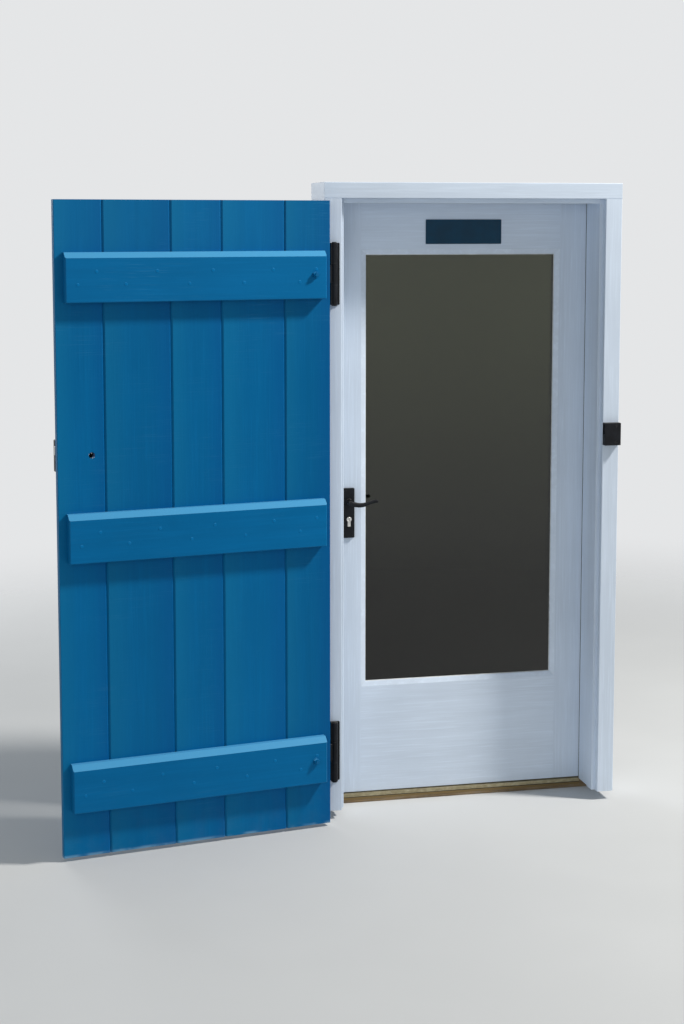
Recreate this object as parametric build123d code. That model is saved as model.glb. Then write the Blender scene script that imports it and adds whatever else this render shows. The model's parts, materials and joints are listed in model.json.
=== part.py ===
from build123d import *
import os
from math import sin, sqrt

# A timber door set: a deep frame with a glazed inner door and a boarded outer leaf.
# Millimetres. +X points to the right seen from outside, +Y into the building, +Z up.
# The origin is mid-width on the underside of the sill, in the plane of the glazed
# door's outer face. The glazed door is shut and the boarded leaf stands open.

# Boarded leaf, as it hangs when it is shut
board_widths = (150, 216, 166, 211, 155)  # from the free edge to the hinge edge
board_thickness = 25
board_bevel = 5
tongue_length = 9
tongue_thickness = 6
tongue_play = 0.2
leaf_foot = 12
leaf_height = 2043
ledge_height = 152
ledge_thickness = 35
ledge_inset = 25
ledge_bevel = 17
ledge_end_chamfer = 3
ledge_from_foot = 149
ledge_from_head = 159
middle_ledge_drop = 6.5
leaf_open_angle = 170
arris = 2
overrun = 1  # how far a cutting piece runs past what it cuts
same_place = 0.01  # two places nearer than this are one

# Frame
leaf_side_gap = 3
leaf_head_gap = 8
jamb_face = 57
head_face = 52
outer_member_depth = 70
outer_stop = 12
outer_head_stop = 15
reveal_depth = 164
lining_step = 3
sill_thickness = 30
sill_nose = 8
tenon_thickness = 20
tenon_length = 36
tenon_shoulder = 12
fixing_radius = 5
fixing_count = 4
fixing_pitch = 520
fixing_foot = 150

# Glazed door
door_thickness = 44
door_gap = 3
door_foot_gap = 4
stile_width = 100
top_rail_height = 161
bottom_rail_height = 368
lip_width = 17
lip_thickness = 12
bead_depth = 11
bead_bevel = 6
tape_thickness = 1
pane_thickness = 4
pane_edge_gap = 4
spacer_width = 9
spacer_edge = 3
setting_block_length = 100
rail_tenon_length = 60
rail_tenon_thickness = 14
rail_tenon_shoulder = 30
seal_thickness = 3
seal_width = 9

# Threshold bar
bar_thickness = 2.5
bar_front_height = 22
bar_depth = 30
bar_rib = 2.5

# Hinges of the boarded leaf
hook_plate_width = 40
hook_plate_height = 200
hook_plate_thickness = 5
hook_plate_corner = 3
hook_axis_from_arris = 28.5
hook_axis_stand_off = 16
barrel_radius = 11
pin_radius = 6
running_clearance = 0.05
eye_height = 70
eye_play = 0.3
pin_head_radius = 8
pin_head_height = 3
band_thickness = 6
band_length = 450
band_root_height = 56
band_tip_height = 30
band_crank_length = 12
band_crank_end = 15
band_screw_count = 3
band_first_screw = 130
band_tip_to_screw = 50
coach_bolt_from_edge = 65
coach_bolt_radius = 5
coach_head_radius = 11
coach_head_height = 5
coach_head_crown = 4
washer_radius = 11
washer_thickness = 2
nut_across_flats = 17
nut_height = 8
bolt_end = 5
screw_radius = 2.5
screw_head_radius = 5
screw_head_height = 3
screw_length = 30

# Rim lock of the boarded leaf
rim_lock_height = 1275
rim_case_length = 150
rim_case_height = 100
rim_case_depth = 22
rim_wall = 2.5
rim_corner = 4
keyhole_from_edge = 108
keyhole_radius = 10
key_slot_width = 5
key_slot_length = 16
key_eye_radius = 4.5
rim_bolt_rise = 16
rim_bolt_past_key = 14
rim_bolt_height = 30
rim_bolt_thickness = 12
rim_bolt_throw = 14
talon_notch_width = 14
talon_notch_depth = 7.5
bolt_nose_chamfer = 1
slide_clearance = 0.4
keep_height = 76
keep_wall = 4
keep_pocket_play = 2.4
keep_end_room = 7

# Lock and furniture of the glazed door
backset = 57
lever_height = 1045
cylinder_drop = 57
case_length = 73
case_below_cylinder = 63
case_thickness = 16
case_wall = 1.5
case_above_lever = 35
pocket_clearance = 1
forend_width = 22
forend_past_case = 35
forend_thickness = 3
follower_radius = 10
follower_arm_width = 6
follower_arm_reach = 18
hub_radius = 8
spindle_size = 8
latch_length = 38
latch_height = 16
latch_thickness = 11
latch_nose_flat = 2
latch_throw = 11
dead_bolt_drop = 38
dead_bolt_height = 18
dead_bolt_thickness = 10
dead_bolt_throw = 14
strike_width = 24
strike_above_latch = 100
strike_below_dead_bolt = 62
strike_thickness = 2.5
strike_pocket_end_room = 4
strike_play = 0.8
cylinder_radius = 8.5
cylinder_tail_width = 10
cylinder_tail_depth = 24.5
cylinder_stand_off = 3
plug_radius = 6.5
plug_slot_width = 2
plug_slot_height = 9
plug_slot_depth = 12
cam_width = 10
cam_disc_radius = 8.5
cam_lobe_width = 8
cam_reach = 14
lever_plate_width = 39
lever_plate_above_lever = 49
lever_plate_below_cylinder = 64
lever_plate_thickness = 8
lever_plate_corner = 4
lever_plate_edge = 2.5
furniture_hole_play = 1
lever_boss_radius = 13
lever_boss_length = 6
lever_boss_edge = 2
lever_neck_radius = 8
lever_hub_radius = 9
lever_hub_edge = 3
lever_stand_off = 46
lever_reach = 92
lever_dip = 8
lever_wave = 5.2  # radians of the sine that the grip follows
lever_sections = 7
lever_thickness = 12
lever_root_size = (11.4, 18)  # depth and height where the grip leaves the hub
lever_tip_size = (6, 10.2)
thumb_turn_radius = 7
thumb_turn_length = 22
thumb_grip_width = 26
thumb_grip_thickness = 7
thumb_grip_length = 17.4
thumb_grip_proud = 2

# Butt hinges of the glazed door
butt_from_foot = 224.5
butt_from_head = 175
butt_height = 100
butt_knuckle_radius = 6
butt_pin_radius = 3
butt_pin_crown = 2.4
butt_leaf_thickness = 1.4
butt_leaf_depth = 34
butt_knuckles = 5
butt_axis_stand_off = 6.2
knuckle_play = 0.2
knuckle_room = 0.5

# Nameplate, left blank
nameplate_length = 265
nameplate_height = 82
nameplate_thickness = 3
nameplate_offset = 6
nameplate_from_head = 103
nameplate_bevel = 1
nameplate_corner = 2

# Places that follow from the sizes above
leaf_width = sum(board_widths)
leaf_half = leaf_width / 2
opening_half = leaf_half + leaf_side_gap
frame_half = opening_half + jamb_face
stop_half = opening_half - outer_stop
lining_half = stop_half + lining_step
door_half = opening_half - door_gap
front = -reveal_depth
leaf_back = front + board_thickness
member_joint = front + outer_member_depth
rebate_face = -seal_thickness
frame_back = door_thickness
leaf_head = leaf_foot + leaf_height
outer_head_under = leaf_head + leaf_head_gap
frame_head = outer_head_under + head_face
outer_stop_under = outer_head_under - outer_head_stop
lining_under = outer_stop_under + lining_step
inner_head_under = lining_under + outer_stop - lining_step
door_head = inner_head_under - door_gap
bar_top = sill_thickness + bar_thickness
door_foot = bar_top + door_foot_gap
nameplate_centre = door_head - nameplate_from_head

glass_rebate_half = door_half - stile_width
sight_half = glass_rebate_half - lip_width
rebate_foot = door_foot + bottom_rail_height
rebate_head = door_head - top_rail_height
sight_foot = rebate_foot + lip_width
sight_head = rebate_head - lip_width
lip_front = door_thickness - lip_thickness
unit_back = lip_front - tape_thickness
inner_pane_front = unit_back - pane_thickness
outer_pane_front = bead_depth
spacer_front = outer_pane_front + pane_thickness

hook_axis_x = -(opening_half + hook_axis_from_arris)
hook_axis_y = front - hook_axis_stand_off
ear_height = (hook_plate_height - eye_height) / 2 - eye_play
low_ledge_foot = leaf_foot + ledge_from_foot
top_ledge_foot = leaf_head - ledge_from_head - ledge_height
middle_ledge_foot = (low_ledge_foot + top_ledge_foot) / 2 - middle_ledge_drop
hook_heights = (low_ledge_foot + ledge_height / 2, top_ledge_foot + ledge_height / 2)
ledge_back = leaf_back + ledge_thickness
band_front = front - band_thickness
band_screw_pitch = (band_length - band_tip_to_screw - band_first_screw) / (band_screw_count - 1)
rim_post_radius = screw_head_radius + rim_wall
rim_bolt_length = keyhole_from_edge + rim_bolt_past_key
rim_bolt_height_mid = rim_lock_height + rim_bolt_rise
rim_bolt_y = front - rim_case_depth / 2

lock_x = -door_half + backset
lock_y = door_thickness / 2
cylinder_height = lever_height - cylinder_drop
latch_x = -door_half + latch_length
dead_bolt_height_mid = lever_height - dead_bolt_drop
case_head = lever_height + case_above_lever
case_foot = cylinder_height - case_below_cylinder
forend_head = case_head + forend_past_case
forend_foot = case_foot - forend_past_case
strike_head = lever_height + strike_above_latch
strike_foot = dead_bolt_height_mid - strike_below_dead_bolt
strike_pocket_depth = max(latch_throw, dead_bolt_throw) + strike_pocket_end_room
lever_plate_head = lever_height + lever_plate_above_lever
lever_plate_foot = cylinder_height - lever_plate_below_cylinder
case_start = -door_half + forend_thickness
butt_axis_x = (door_half + opening_half) / 2
butt_axis_y = door_thickness + butt_axis_stand_off
low_butt = door_foot + butt_from_foot
high_butt = door_head - butt_from_head
butt_heights = (low_butt, (low_butt + high_butt) / 2, high_butt)


# Building blocks
def block(x_low, x_high, y_low, y_high, z_low, z_high):
    size = (x_high - x_low, y_high - y_low, z_high - z_low)
    middle = ((x_low + x_high) / 2, (y_low + y_high) / 2, (z_low + z_high) / 2)
    return Pos(*middle) * Box(*size)


def rod_x(radius, x_low, x_high, y, z):
    return Pos((x_low + x_high) / 2, y, z) * Rot(0, 90, 0) * Cylinder(radius, x_high - x_low)


def rod_y(radius, x, y_low, y_high, z):
    return Pos(x, (y_low + y_high) / 2, z) * Rot(90, 0, 0) * Cylinder(radius, y_high - y_low)


def rod_z(radius, x, y, z_low, z_high):
    return Pos(x, y, (z_low + z_high) / 2) * Cylinder(radius, z_high - z_low)


def upright(points, z_low, z_high):
    """A plan outline carried up from one height to another."""
    outline = make_face(Polyline(*points, close=True))
    return Pos(0, 0, z_low) * extrude(outline, z_high - z_low)


def lengthwise(points, x_low, x_high):
    """A section given as (y, z) points, carried along X."""
    outline = make_face(Polyline(*[(x_low, y, z) for y, z in points], close=True))
    return extrude(outline, x_high - x_low, dir=(1, 0, 0))


def through_y(points, y_low, y_high):
    """An elevation given as (x, z) points, carried along Y."""
    outline = make_face(Polyline(*[(x, y_low, z) for x, z in points], close=True))
    return extrude(outline, y_high - y_low, dir=(0, 1, 0))


def mirrored(shape):
    return mirror(shape, about=Plane.YZ)


def turned_inside_out(shape):
    """The same fitting on the other face of the glazed door."""
    return mirror(shape, about=Plane.XZ.offset(-lock_y))


def edges_along(shape, axis, places):
    """Edges parallel to an axis whose middle lies at one of the places, given in the other two."""
    chosen = []
    for edge in shape.edges().filter_by(axis):
        middle = edge.center()
        pairs = {
            Axis.X: (middle.Y, middle.Z),
            Axis.Y: (middle.X, middle.Z),
            Axis.Z: (middle.X, middle.Y),
        }
        first, second = pairs[axis]
        if any(abs(first - a) < same_place and abs(second - b) < same_place for a, b in places):
            chosen.append(edge)
    return chosen


def softened(shape, axis, places, radius=arris):
    return fillet(edges_along(shape, axis, places), radius)


def group(solids):
    return Compound(children=[part for shape in solids for part in shape.solids()])


# Frame members
def outer_jamb():
    points = [
        (-frame_half, front),
        (-opening_half, front),
        (-opening_half, leaf_back),
        (-stop_half, leaf_back),
        (-stop_half, member_joint),
        (-frame_half, member_joint),
    ]
    jamb = upright(points, sill_thickness, outer_head_under)
    arrises = [(-frame_half, front), (-opening_half, front), (-stop_half, leaf_back)]
    jamb = softened(jamb, Axis.Z, arrises)
    return jamb + head_tenon(leaf_back + arris, member_joint - arris, outer_head_under)


def inner_jamb():
    points = [
        (-frame_half, member_joint),
        (-lining_half, member_joint),
        (-lining_half, rebate_face),
        (-opening_half, rebate_face),
        (-opening_half, frame_back),
        (-frame_half, frame_back),
    ]
    jamb = upright(points, sill_thickness, inner_head_under)
    jamb = softened(jamb, Axis.Z, [(-lining_half, rebate_face), (-frame_half, frame_back)])
    jamb += head_tenon(member_joint + tenon_shoulder, rebate_face - tenon_shoulder, inner_head_under)
    for number in range(fixing_count):
        height = fixing_foot + number * fixing_pitch
        jamb -= rod_x(fixing_radius, -frame_half - overrun, -opening_half + overrun, lock_y, height)
    return jamb


def head_tenon(y_low, y_high, shoulder):
    x_middle = -(frame_half + opening_half) / 2
    x_low = x_middle - tenon_thickness / 2
    return block(x_low, x_low + tenon_thickness, y_low, y_high, shoulder, shoulder + tenon_length)


def both_tenons(y_low, y_high, shoulder):
    left = head_tenon(y_low, y_high, shoulder)
    return left + mirrored(left)


def outer_head():
    lintel = block(-frame_half, frame_half, front, member_joint, outer_head_under, frame_head)
    arrises = [(front, outer_head_under), (front, frame_head)]
    lintel = softened(lintel, Axis.X, arrises)
    stop = block(-stop_half, stop_half, leaf_back, member_joint, outer_stop_under, outer_head_under)
    stop = softened(stop, Axis.X, [(leaf_back, outer_stop_under)])
    return lintel + stop - both_tenons(leaf_back + arris, member_joint - arris, outer_head_under)


def inner_head():
    lintel = block(-frame_half, frame_half, member_joint, frame_back, inner_head_under, frame_head)
    stop = block(-lining_half, lining_half, member_joint, rebate_face, lining_under, inner_head_under)
    head = lintel + softened(stop, Axis.X, [(rebate_face, lining_under)])
    return head - both_tenons(member_joint + tenon_shoulder, rebate_face - tenon_shoulder, inner_head_under)


def sill():
    nose = -sill_nose
    plank = block(-frame_half, frame_half, nose, frame_back, 0, sill_thickness)
    plank = softened(plank, Axis.X, [(nose, 0)])
    return plank - threshold_bar()


def threshold_bar():
    """An angle laid in the sill's front arris, with a rib under the door for the draught strip."""
    nose = -sill_nose
    foot = bar_top - bar_front_height
    points = [
        (nose, foot),
        (nose, bar_top),
        (nose + bar_depth - 2 * bar_rib, bar_top),
        (nose + bar_depth - 2 * bar_rib, bar_top + bar_rib),
        (nose + bar_depth, bar_top + bar_rib),
        (nose + bar_depth, sill_thickness),
        (nose + bar_thickness, sill_thickness),
        (nose + bar_thickness, foot),
    ]
    return lengthwise(points, -lining_half, lining_half)


def door_seal():
    """A strip on each of the three stops that the glazed door shuts against."""
    side_low = -lining_half - seal_width
    side = block(side_low, -lining_half, rebate_face, 0, bar_top, inner_head_under)
    top = block(-lining_half, lining_half, rebate_face, 0, lining_under, lining_under + seal_width)
    return group([side, mirrored(side), top])


# Hinges of the boarded leaf
def knuckle(z_low, z_high):
    """A barrel joined to the hinge plate by a web as wide as the pin."""
    plate_front = front - hook_plate_thickness
    barrel = rod_z(barrel_radius, hook_axis_x, hook_axis_y, z_low, z_high)
    web_low = hook_axis_x - barrel_radius
    web = block(web_low, hook_axis_x + barrel_radius, hook_axis_y, plate_front, z_low, z_high)
    return barrel + web


def hinge_plate(height):
    low = height - hook_plate_height / 2
    high = height + hook_plate_height / 2
    x_low = hook_axis_x - hook_plate_width / 2
    plate_front = front - hook_plate_thickness
    plate = block(x_low, x_low + hook_plate_width, plate_front, front, low, high)
    plate = fillet(plate.edges().filter_by(Axis.Y), hook_plate_corner)
    plate += knuckle(low, low + ear_height)
    plate += knuckle(high - ear_height, high)
    plate -= rod_z(pin_radius, hook_axis_x, hook_axis_y, low - overrun, high + overrun)
    for screw in hinge_plate_screws_at(height):
        plate -= screw
    return plate


def countersunk_screw(x, y, z, direction=1, length=screw_length):
    """A wood screw whose flat head lies in the face at y and whose shank runs along Y."""
    head = Pos(x, y + direction * screw_head_height / 2, z)
    head *= Rot(-90 * direction, 0, 0)
    cone = head * Cone(screw_head_radius, screw_radius, screw_head_height)
    shank_start = y + direction * screw_head_height
    shank_end = y + direction * length
    return cone + rod_y(screw_radius, x, min(shank_start, shank_end), max(shank_start, shank_end), z)


def hinge_plate_screws_at(height):
    plate_front = front - hook_plate_thickness
    across = (hook_plate_width + 2 * barrel_radius) / 4
    up = hook_plate_height / 2 - ear_height - eye_height / 4
    screws = []
    for side in (-1, 1):
        for end in (-1, 1):
            screws.append(countersunk_screw(hook_axis_x + side * across, plate_front, height + end * up))
    return screws


def hinge_pin(height):
    low = height - hook_plate_height / 2
    high = height + hook_plate_height / 2
    pin = rod_z(pin_radius, hook_axis_x, hook_axis_y, low, high)
    cap = rod_z(pin_head_radius, hook_axis_x, hook_axis_y, high, high + pin_head_height)
    foot = rod_z(pin_head_radius, hook_axis_x, hook_axis_y, low - pin_head_height, low)
    rims = cap.edges().sort_by(Axis.Z)[-1:]
    return pin + chamfer(rims, pin_head_height / 2) + foot


def band_plan():
    """The band seen from above: a flat bar, cranked from the eye down to the boards."""
    crank_end = -leaf_half + band_crank_end
    crank_start = crank_end - band_crank_length
    tip = -leaf_half + band_length
    return [
        (hook_axis_x, hook_axis_y),
        (crank_start, hook_axis_y),
        (crank_end, band_front),
        (tip, band_front),
        (tip, front),
        (crank_end, front),
        (crank_start, hook_axis_y + band_thickness),
        (hook_axis_x, hook_axis_y + band_thickness),
    ]


def hinge_band(height):
    tip = -leaf_half + band_length
    bar = upright(band_plan(), height - eye_height / 2, height + eye_height / 2)
    tip_half = band_tip_height / 2
    root_half = band_root_height / 2
    outline = [
        (hook_axis_x, height - root_half),
        (-leaf_half + band_crank_end, height - root_half),
        (tip - tip_half, height - tip_half),
        (tip - tip_half, height + tip_half),
        (-leaf_half + band_crank_end, height + root_half),
        (hook_axis_x, height + root_half),
    ]
    blank = through_y(outline, hook_axis_y - overrun, front + overrun)
    blank += rod_y(tip_half, tip - tip_half, hook_axis_y - overrun, front + overrun, height)
    bar = bar & blank
    eye_low = height - eye_height / 2
    eye_high = height + eye_height / 2
    bar += rod_z(barrel_radius, hook_axis_x, hook_axis_y, eye_low, eye_high)
    bore_radius = pin_radius + running_clearance
    bar -= rod_z(bore_radius, hook_axis_x, hook_axis_y, eye_low - overrun, eye_high + overrun)
    for screw in band_screws_at(height):
        bar -= screw
    return bar - coach_bolt(height)


def band_screws_at(height):
    screws = []
    for number in range(band_screw_count):
        x = -leaf_half + band_first_screw + number * band_screw_pitch
        screws.append(countersunk_screw(x, band_front, height))
    return screws


def coach_bolt(height):
    x = -leaf_half + coach_bolt_from_edge
    end = ledge_back + washer_thickness + nut_height + bolt_end
    shank = rod_y(coach_bolt_radius, x, band_front, end, height)
    head = rod_y(coach_head_radius, x, band_front - coach_head_height, band_front, height)
    outer_rim = head.edges().sort_by(Axis.Y)[:1]
    return shank + fillet(outer_rim, coach_head_crown)


def coach_nut(height):
    x = -leaf_half + coach_bolt_from_edge
    nut_start = ledge_back + washer_thickness
    corner_radius = nut_across_flats / sqrt(3)
    hexagon = Plane(origin=(x, nut_start, height), z_dir=(0, 1, 0)) * RegularPolygon(corner_radius, 6)
    nut = extrude(hexagon, nut_height, dir=(0, 1, 0))
    washer = rod_y(washer_radius, x, ledge_back, nut_start, height)
    bore = rod_y(coach_bolt_radius, x, ledge_back - overrun, nut_start + nut_height + overrun, height)
    return nut + washer - bore


# Boarded leaf
def board(x_low, x_high, grooved, tongued):
    """One board in plan: bevelled long edges, a tongue to the left and a groove to the right."""
    middle = (front + leaf_back) / 2
    tongue_half = tongue_thickness / 2
    groove_half = tongue_half + tongue_play
    groove_end = x_high - tongue_length - tongue_play
    points = [(x_low + board_bevel, front), (x_high - board_bevel, front), (x_high, front + board_bevel)]
    if grooved:
        points += [
            (x_high, middle - groove_half),
            (groove_end, middle - groove_half),
            (groove_end, middle + groove_half),
            (x_high, middle + groove_half),
        ]
    points += [(x_high, leaf_back - board_bevel), (x_high - board_bevel, leaf_back)]
    points += [(x_low + board_bevel, leaf_back), (x_low, leaf_back - board_bevel)]
    if tongued:
        points += [
            (x_low, middle + tongue_half),
            (x_low - tongue_length, middle + tongue_half),
            (x_low - tongue_length, middle - tongue_half),
            (x_low, middle - tongue_half),
        ]
    points += [(x_low, front + board_bevel)]
    return upright(points, leaf_foot, leaf_head)


def squared_edge(x, towards):
    """The strip that fills a bevel, for a board whose long edge is the leaf's own edge."""
    inner = x + towards * (board_bevel + arris / 2)
    return block(min(x, inner), max(x, inner), front, leaf_back, leaf_foot, leaf_head)


def boards():
    made = []
    x_high = leaf_half
    for number, width in enumerate(board_widths):
        x_low = x_high - width
        first = number == 0
        last = number == len(board_widths) - 1
        plank = board(x_low, x_high, grooved=not first, tongued=not last)
        if first:
            plank += squared_edge(x_high, -1)
            plank = softened(plank, Axis.Z, [(x_high, front), (x_high, leaf_back)])
            key_x = leaf_half - keyhole_from_edge
            plank -= rod_y(keyhole_radius, key_x, front - overrun, leaf_back + overrun, rim_lock_height)
            for screw in rim_lock_screws():
                plank -= screw
        if last:
            plank += squared_edge(x_low, 1)
            plank = softened(plank, Axis.Z, [(x_low, front), (x_low, leaf_back)])
        made.append(without_fixings(plank))
        x_high = x_low
    return made


def without_fixings(timber):
    """Bores for the band's bolts and screws, where they cross this piece."""
    box = timber.bounding_box()
    for height in hook_heights:
        for fixing in [coach_bolt(height)] + band_screws_at(height):
            middle = fixing.bounding_box().center()
            reach = coach_head_radius
            across = box.min.X - reach < middle.X < box.max.X + reach
            upright_hit = box.min.Z - reach < middle.Z < box.max.Z + reach
            if across and upright_hit:
                timber -= fixing
    return timber


def ledge(foot):
    """A ledge with a weathered top edge and eased ends."""
    x_half = leaf_half - ledge_inset
    head = foot + ledge_height
    points = [
        (leaf_back, foot),
        (ledge_back - arris, foot),
        (ledge_back, foot + arris),
        (ledge_back, head - ledge_bevel),
        (ledge_back - ledge_bevel, head),
        (leaf_back, head),
    ]
    timber = lengthwise(points, -x_half, x_half)
    upright_edges = timber.edges().filter_by(Axis.Z)
    ends = upright_edges.filter_by(lambda edge: abs(edge.center().Y - ledge_back) < same_place)
    return without_fixings(chamfer(ends, ledge_end_chamfer))


# Rim lock of the boarded leaf
def rim_lock_case():
    x_high = leaf_half
    x_low = x_high - rim_case_length
    y_low = front - rim_case_depth
    z_low = rim_lock_height - rim_case_height / 2
    z_high = rim_lock_height + rim_case_height / 2
    shell = block(x_low, x_high, y_low, front, z_low, z_high)
    shell = fillet(shell.edges().filter_by(Axis.Y), rim_corner)
    shell = chamfer(shell.faces().sort_by(Axis.Y)[0].edges(), rim_wall / 2)
    hollow = block(x_low + rim_wall, x_high - rim_wall, y_low + rim_wall, front,
                   z_low + rim_wall, z_high - rim_wall)
    posts = group([rod_y(rim_post_radius, x, y_low + rim_wall, front, z) for x, z in rim_screw_places()])
    shell -= hollow - posts
    bolt_half = rim_bolt_height / 2 + slide_clearance
    bolt_front = rim_bolt_y - rim_bolt_thickness / 2 - slide_clearance
    bolt_back = rim_bolt_y + rim_bolt_thickness / 2 + slide_clearance
    shell -= block(x_high - 2 * rim_wall, x_high + overrun, bolt_front, bolt_back,
                   rim_bolt_height_mid - bolt_half, rim_bolt_height_mid + bolt_half)
    key_x = leaf_half - keyhole_from_edge
    shell -= rod_y(key_eye_radius, key_x, y_low - overrun, y_low + 2 * rim_wall, rim_lock_height)
    slot_low = rim_lock_height - key_slot_length
    shell -= block(key_x - key_slot_width / 2, key_x + key_slot_width / 2, y_low - overrun,
                   y_low + 2 * rim_wall, slot_low, rim_lock_height)
    for screw in rim_lock_screws():
        shell -= screw
    return shell


def rim_screw_places():
    inset = rim_post_radius + rim_wall / 2
    x_places = (leaf_half - rim_case_length + inset, leaf_half - inset - rim_wall)
    z_reach = rim_case_height / 2 - inset
    return [(x, rim_lock_height + side * z_reach) for x in x_places for side in (-1, 1)]


def rim_lock_screws():
    y_low = front - rim_case_depth
    return [countersunk_screw(x, y_low, z, length=rim_case_depth + board_thickness / 2)
            for x, z in rim_screw_places()]


def rim_bolt():
    """A flat bolt that lies above the key, with the notch that the key's bit pushes in."""
    x_high = leaf_half - slide_clearance
    y_low = rim_bolt_y - rim_bolt_thickness / 2
    y_high = rim_bolt_y + rim_bolt_thickness / 2
    z_low = rim_bolt_height_mid - rim_bolt_height / 2
    body = block(leaf_half - rim_bolt_length, x_high, y_low, y_high, z_low, z_low + rim_bolt_height)
    key_x = leaf_half - keyhole_from_edge
    notch_half = talon_notch_width / 2
    notch = block(key_x - notch_half, key_x + notch_half, y_low - overrun, y_high + overrun,
                  z_low - overrun, z_low + talon_notch_depth)
    return chamfer((body - notch).faces().sort_by(Axis.X)[-1].edges(), bolt_nose_chamfer)


def box_keep():
    z_half = keep_height / 2
    y_low = front - rim_case_depth
    shell = block(opening_half, frame_half, y_low, front, rim_lock_height - z_half, rim_lock_height + z_half)
    shell = fillet(shell.edges().filter_by(Axis.Y), arris)
    shell = fillet(shell.faces().sort_by(Axis.Y)[0].edges(), arris / 2)
    pocket_half = rim_bolt_height / 2 + keep_pocket_play
    pocket_end = opening_half + rim_bolt_throw + keep_end_room
    pocket_back = rim_bolt_y + rim_bolt_thickness / 2 + keep_pocket_play
    shell -= block(opening_half - overrun, pocket_end, y_low + keep_wall, pocket_back,
                   rim_bolt_height_mid - pocket_half, rim_bolt_height_mid + pocket_half)
    for screw in keep_screws():
        shell -= screw
    return shell


def keep_screws():
    x = (opening_half + rim_bolt_throw + frame_half) / 2 + screw_head_radius
    y_low = front - rim_case_depth
    reach = keep_height / 2 - 2 * screw_head_radius
    return [countersunk_screw(x, y_low, rim_lock_height + side * reach, length=rim_case_depth + screw_length)
            for side in (-1, 1)]


# Glazed door
def lock_stile():
    points = stile_points(-1)
    stile = upright(points, door_foot, door_head)
    stile = trimmed_lip(stile, -1)
    stile = softened(stile, Axis.Z, [(-door_half, 0), (-door_half, door_thickness)])
    stile -= rail_tenons(-1)
    stile -= lock_pocket()
    for hole in furniture_holes():
        stile -= hole
    return stile


def hinge_stile():
    stile = upright(stile_points(1), door_foot, door_head)
    stile = trimmed_lip(stile, 1)
    stile = softened(stile, Axis.Z, [(door_half, 0)])
    stile -= rail_tenons(1)
    for height in butt_heights:
        stile -= butt_recess(height, door_half - butt_leaf_thickness, door_half)
    return stile


def stile_points(side):
    """Plan of a stile with the lip that holds the glass from inside."""
    return [
        (side * door_half, 0),
        (side * glass_rebate_half, 0),
        (side * glass_rebate_half, lip_front),
        (side * sight_half, lip_front),
        (side * sight_half, door_thickness),
        (side * door_half, door_thickness),
    ]


def trimmed_lip(stile, side):
    """The lip runs only between the rails."""
    x_low = min(side * sight_half, side * glass_rebate_half)
    x_high = max(side * sight_half, side * glass_rebate_half)
    stile -= block(x_low, x_high, lip_front, door_thickness, door_foot, rebate_foot)
    return stile - block(x_low, x_high, lip_front, door_thickness, rebate_head, door_head)


def rail_tenon(side, z_low, z_high):
    x_root = side * glass_rebate_half
    x_end = side * (glass_rebate_half + rail_tenon_length)
    y_low = (door_thickness - rail_tenon_thickness) / 2
    return block(min(x_root, x_end), max(x_root, x_end), y_low, y_low + rail_tenon_thickness,
                 z_low + rail_tenon_shoulder, z_high - rail_tenon_shoulder)


def rail_tenons(side):
    low = rail_tenon(side, door_foot, rebate_foot)
    return low + rail_tenon(side, rebate_head, door_head)


def rail(z_low, z_high, lip_low, lip_high):
    timber = block(-glass_rebate_half, glass_rebate_half, 0, door_thickness, z_low, z_high)
    timber += block(-sight_half, sight_half, lip_front, door_thickness, lip_low, lip_high)
    return timber + rail_tenon(-1, z_low, z_high) + rail_tenon(1, z_low, z_high)


def top_rail():
    return rail(rebate_head, door_head, sight_head, rebate_head)


def bottom_rail():
    return rail(door_foot, rebate_foot, rebate_foot, sight_foot)


def glass_ring(edge, width, y_low, y_high):
    """A flat frame that follows the glass, set in by an edge and as wide as asked."""
    half = glass_rebate_half - edge
    outer = block(-half, half, y_low, y_high, rebate_foot + edge, rebate_head - edge)
    inset = edge + width
    inner_half = glass_rebate_half - inset
    return outer - block(-inner_half, inner_half, y_low - overrun, y_high + overrun,
                         rebate_foot + inset, rebate_head - inset)


def pane(y_low):
    half = glass_rebate_half - pane_edge_gap
    return block(-half, half, y_low, y_low + pane_thickness,
                 rebate_foot + pane_edge_gap, rebate_head - pane_edge_gap)


def spacer():
    edge = pane_edge_gap + spacer_edge
    return glass_ring(edge, spacer_width, spacer_front, inner_pane_front)


def setting_blocks():
    x_middle = glass_rebate_half / 2
    half = setting_block_length / 2
    first = block(x_middle - half, x_middle + half, outer_pane_front, unit_back,
                  rebate_foot, rebate_foot + pane_edge_gap)
    return group([first, mirrored(first)])


def glazing_beads():
    """Four mitred beads whose face slopes back to the glass."""
    beads = []
    for side in (-1, 1):
        edge = side * glass_rebate_half
        sight = side * sight_half
        section = [(edge, 0), (sight, bead_bevel), (sight, bead_depth), (edge, bead_depth)]
        bar = upright(section, rebate_foot, rebate_head)
        mitre = [(edge, rebate_foot), (edge, rebate_head), (sight, sight_head), (sight, sight_foot)]
        beads.append(bar & through_y(mitre, -overrun, bead_depth + overrun))
    for edge, sight in ((rebate_foot, sight_foot), (rebate_head, sight_head)):
        section = [(0, edge), (bead_bevel, sight), (bead_depth, sight), (bead_depth, edge)]
        bar = lengthwise(section, -glass_rebate_half, glass_rebate_half)
        mitre = [(-glass_rebate_half, edge), (glass_rebate_half, edge),
                 (sight_half, sight), (-sight_half, sight)]
        beads.append(bar & through_y(mitre, -overrun, bead_depth + overrun))
    return group(beads)


def nameplate():
    x_half = nameplate_length / 2
    z_half = nameplate_height / 2
    plate = block(nameplate_offset - x_half, nameplate_offset + x_half, -nameplate_thickness, 0,
                  nameplate_centre - z_half, nameplate_centre + z_half)
    plate = fillet(plate.edges().filter_by(Axis.Y), nameplate_corner)
    return chamfer(plate.faces().sort_by(Axis.Y)[0].edges(), nameplate_bevel)


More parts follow.
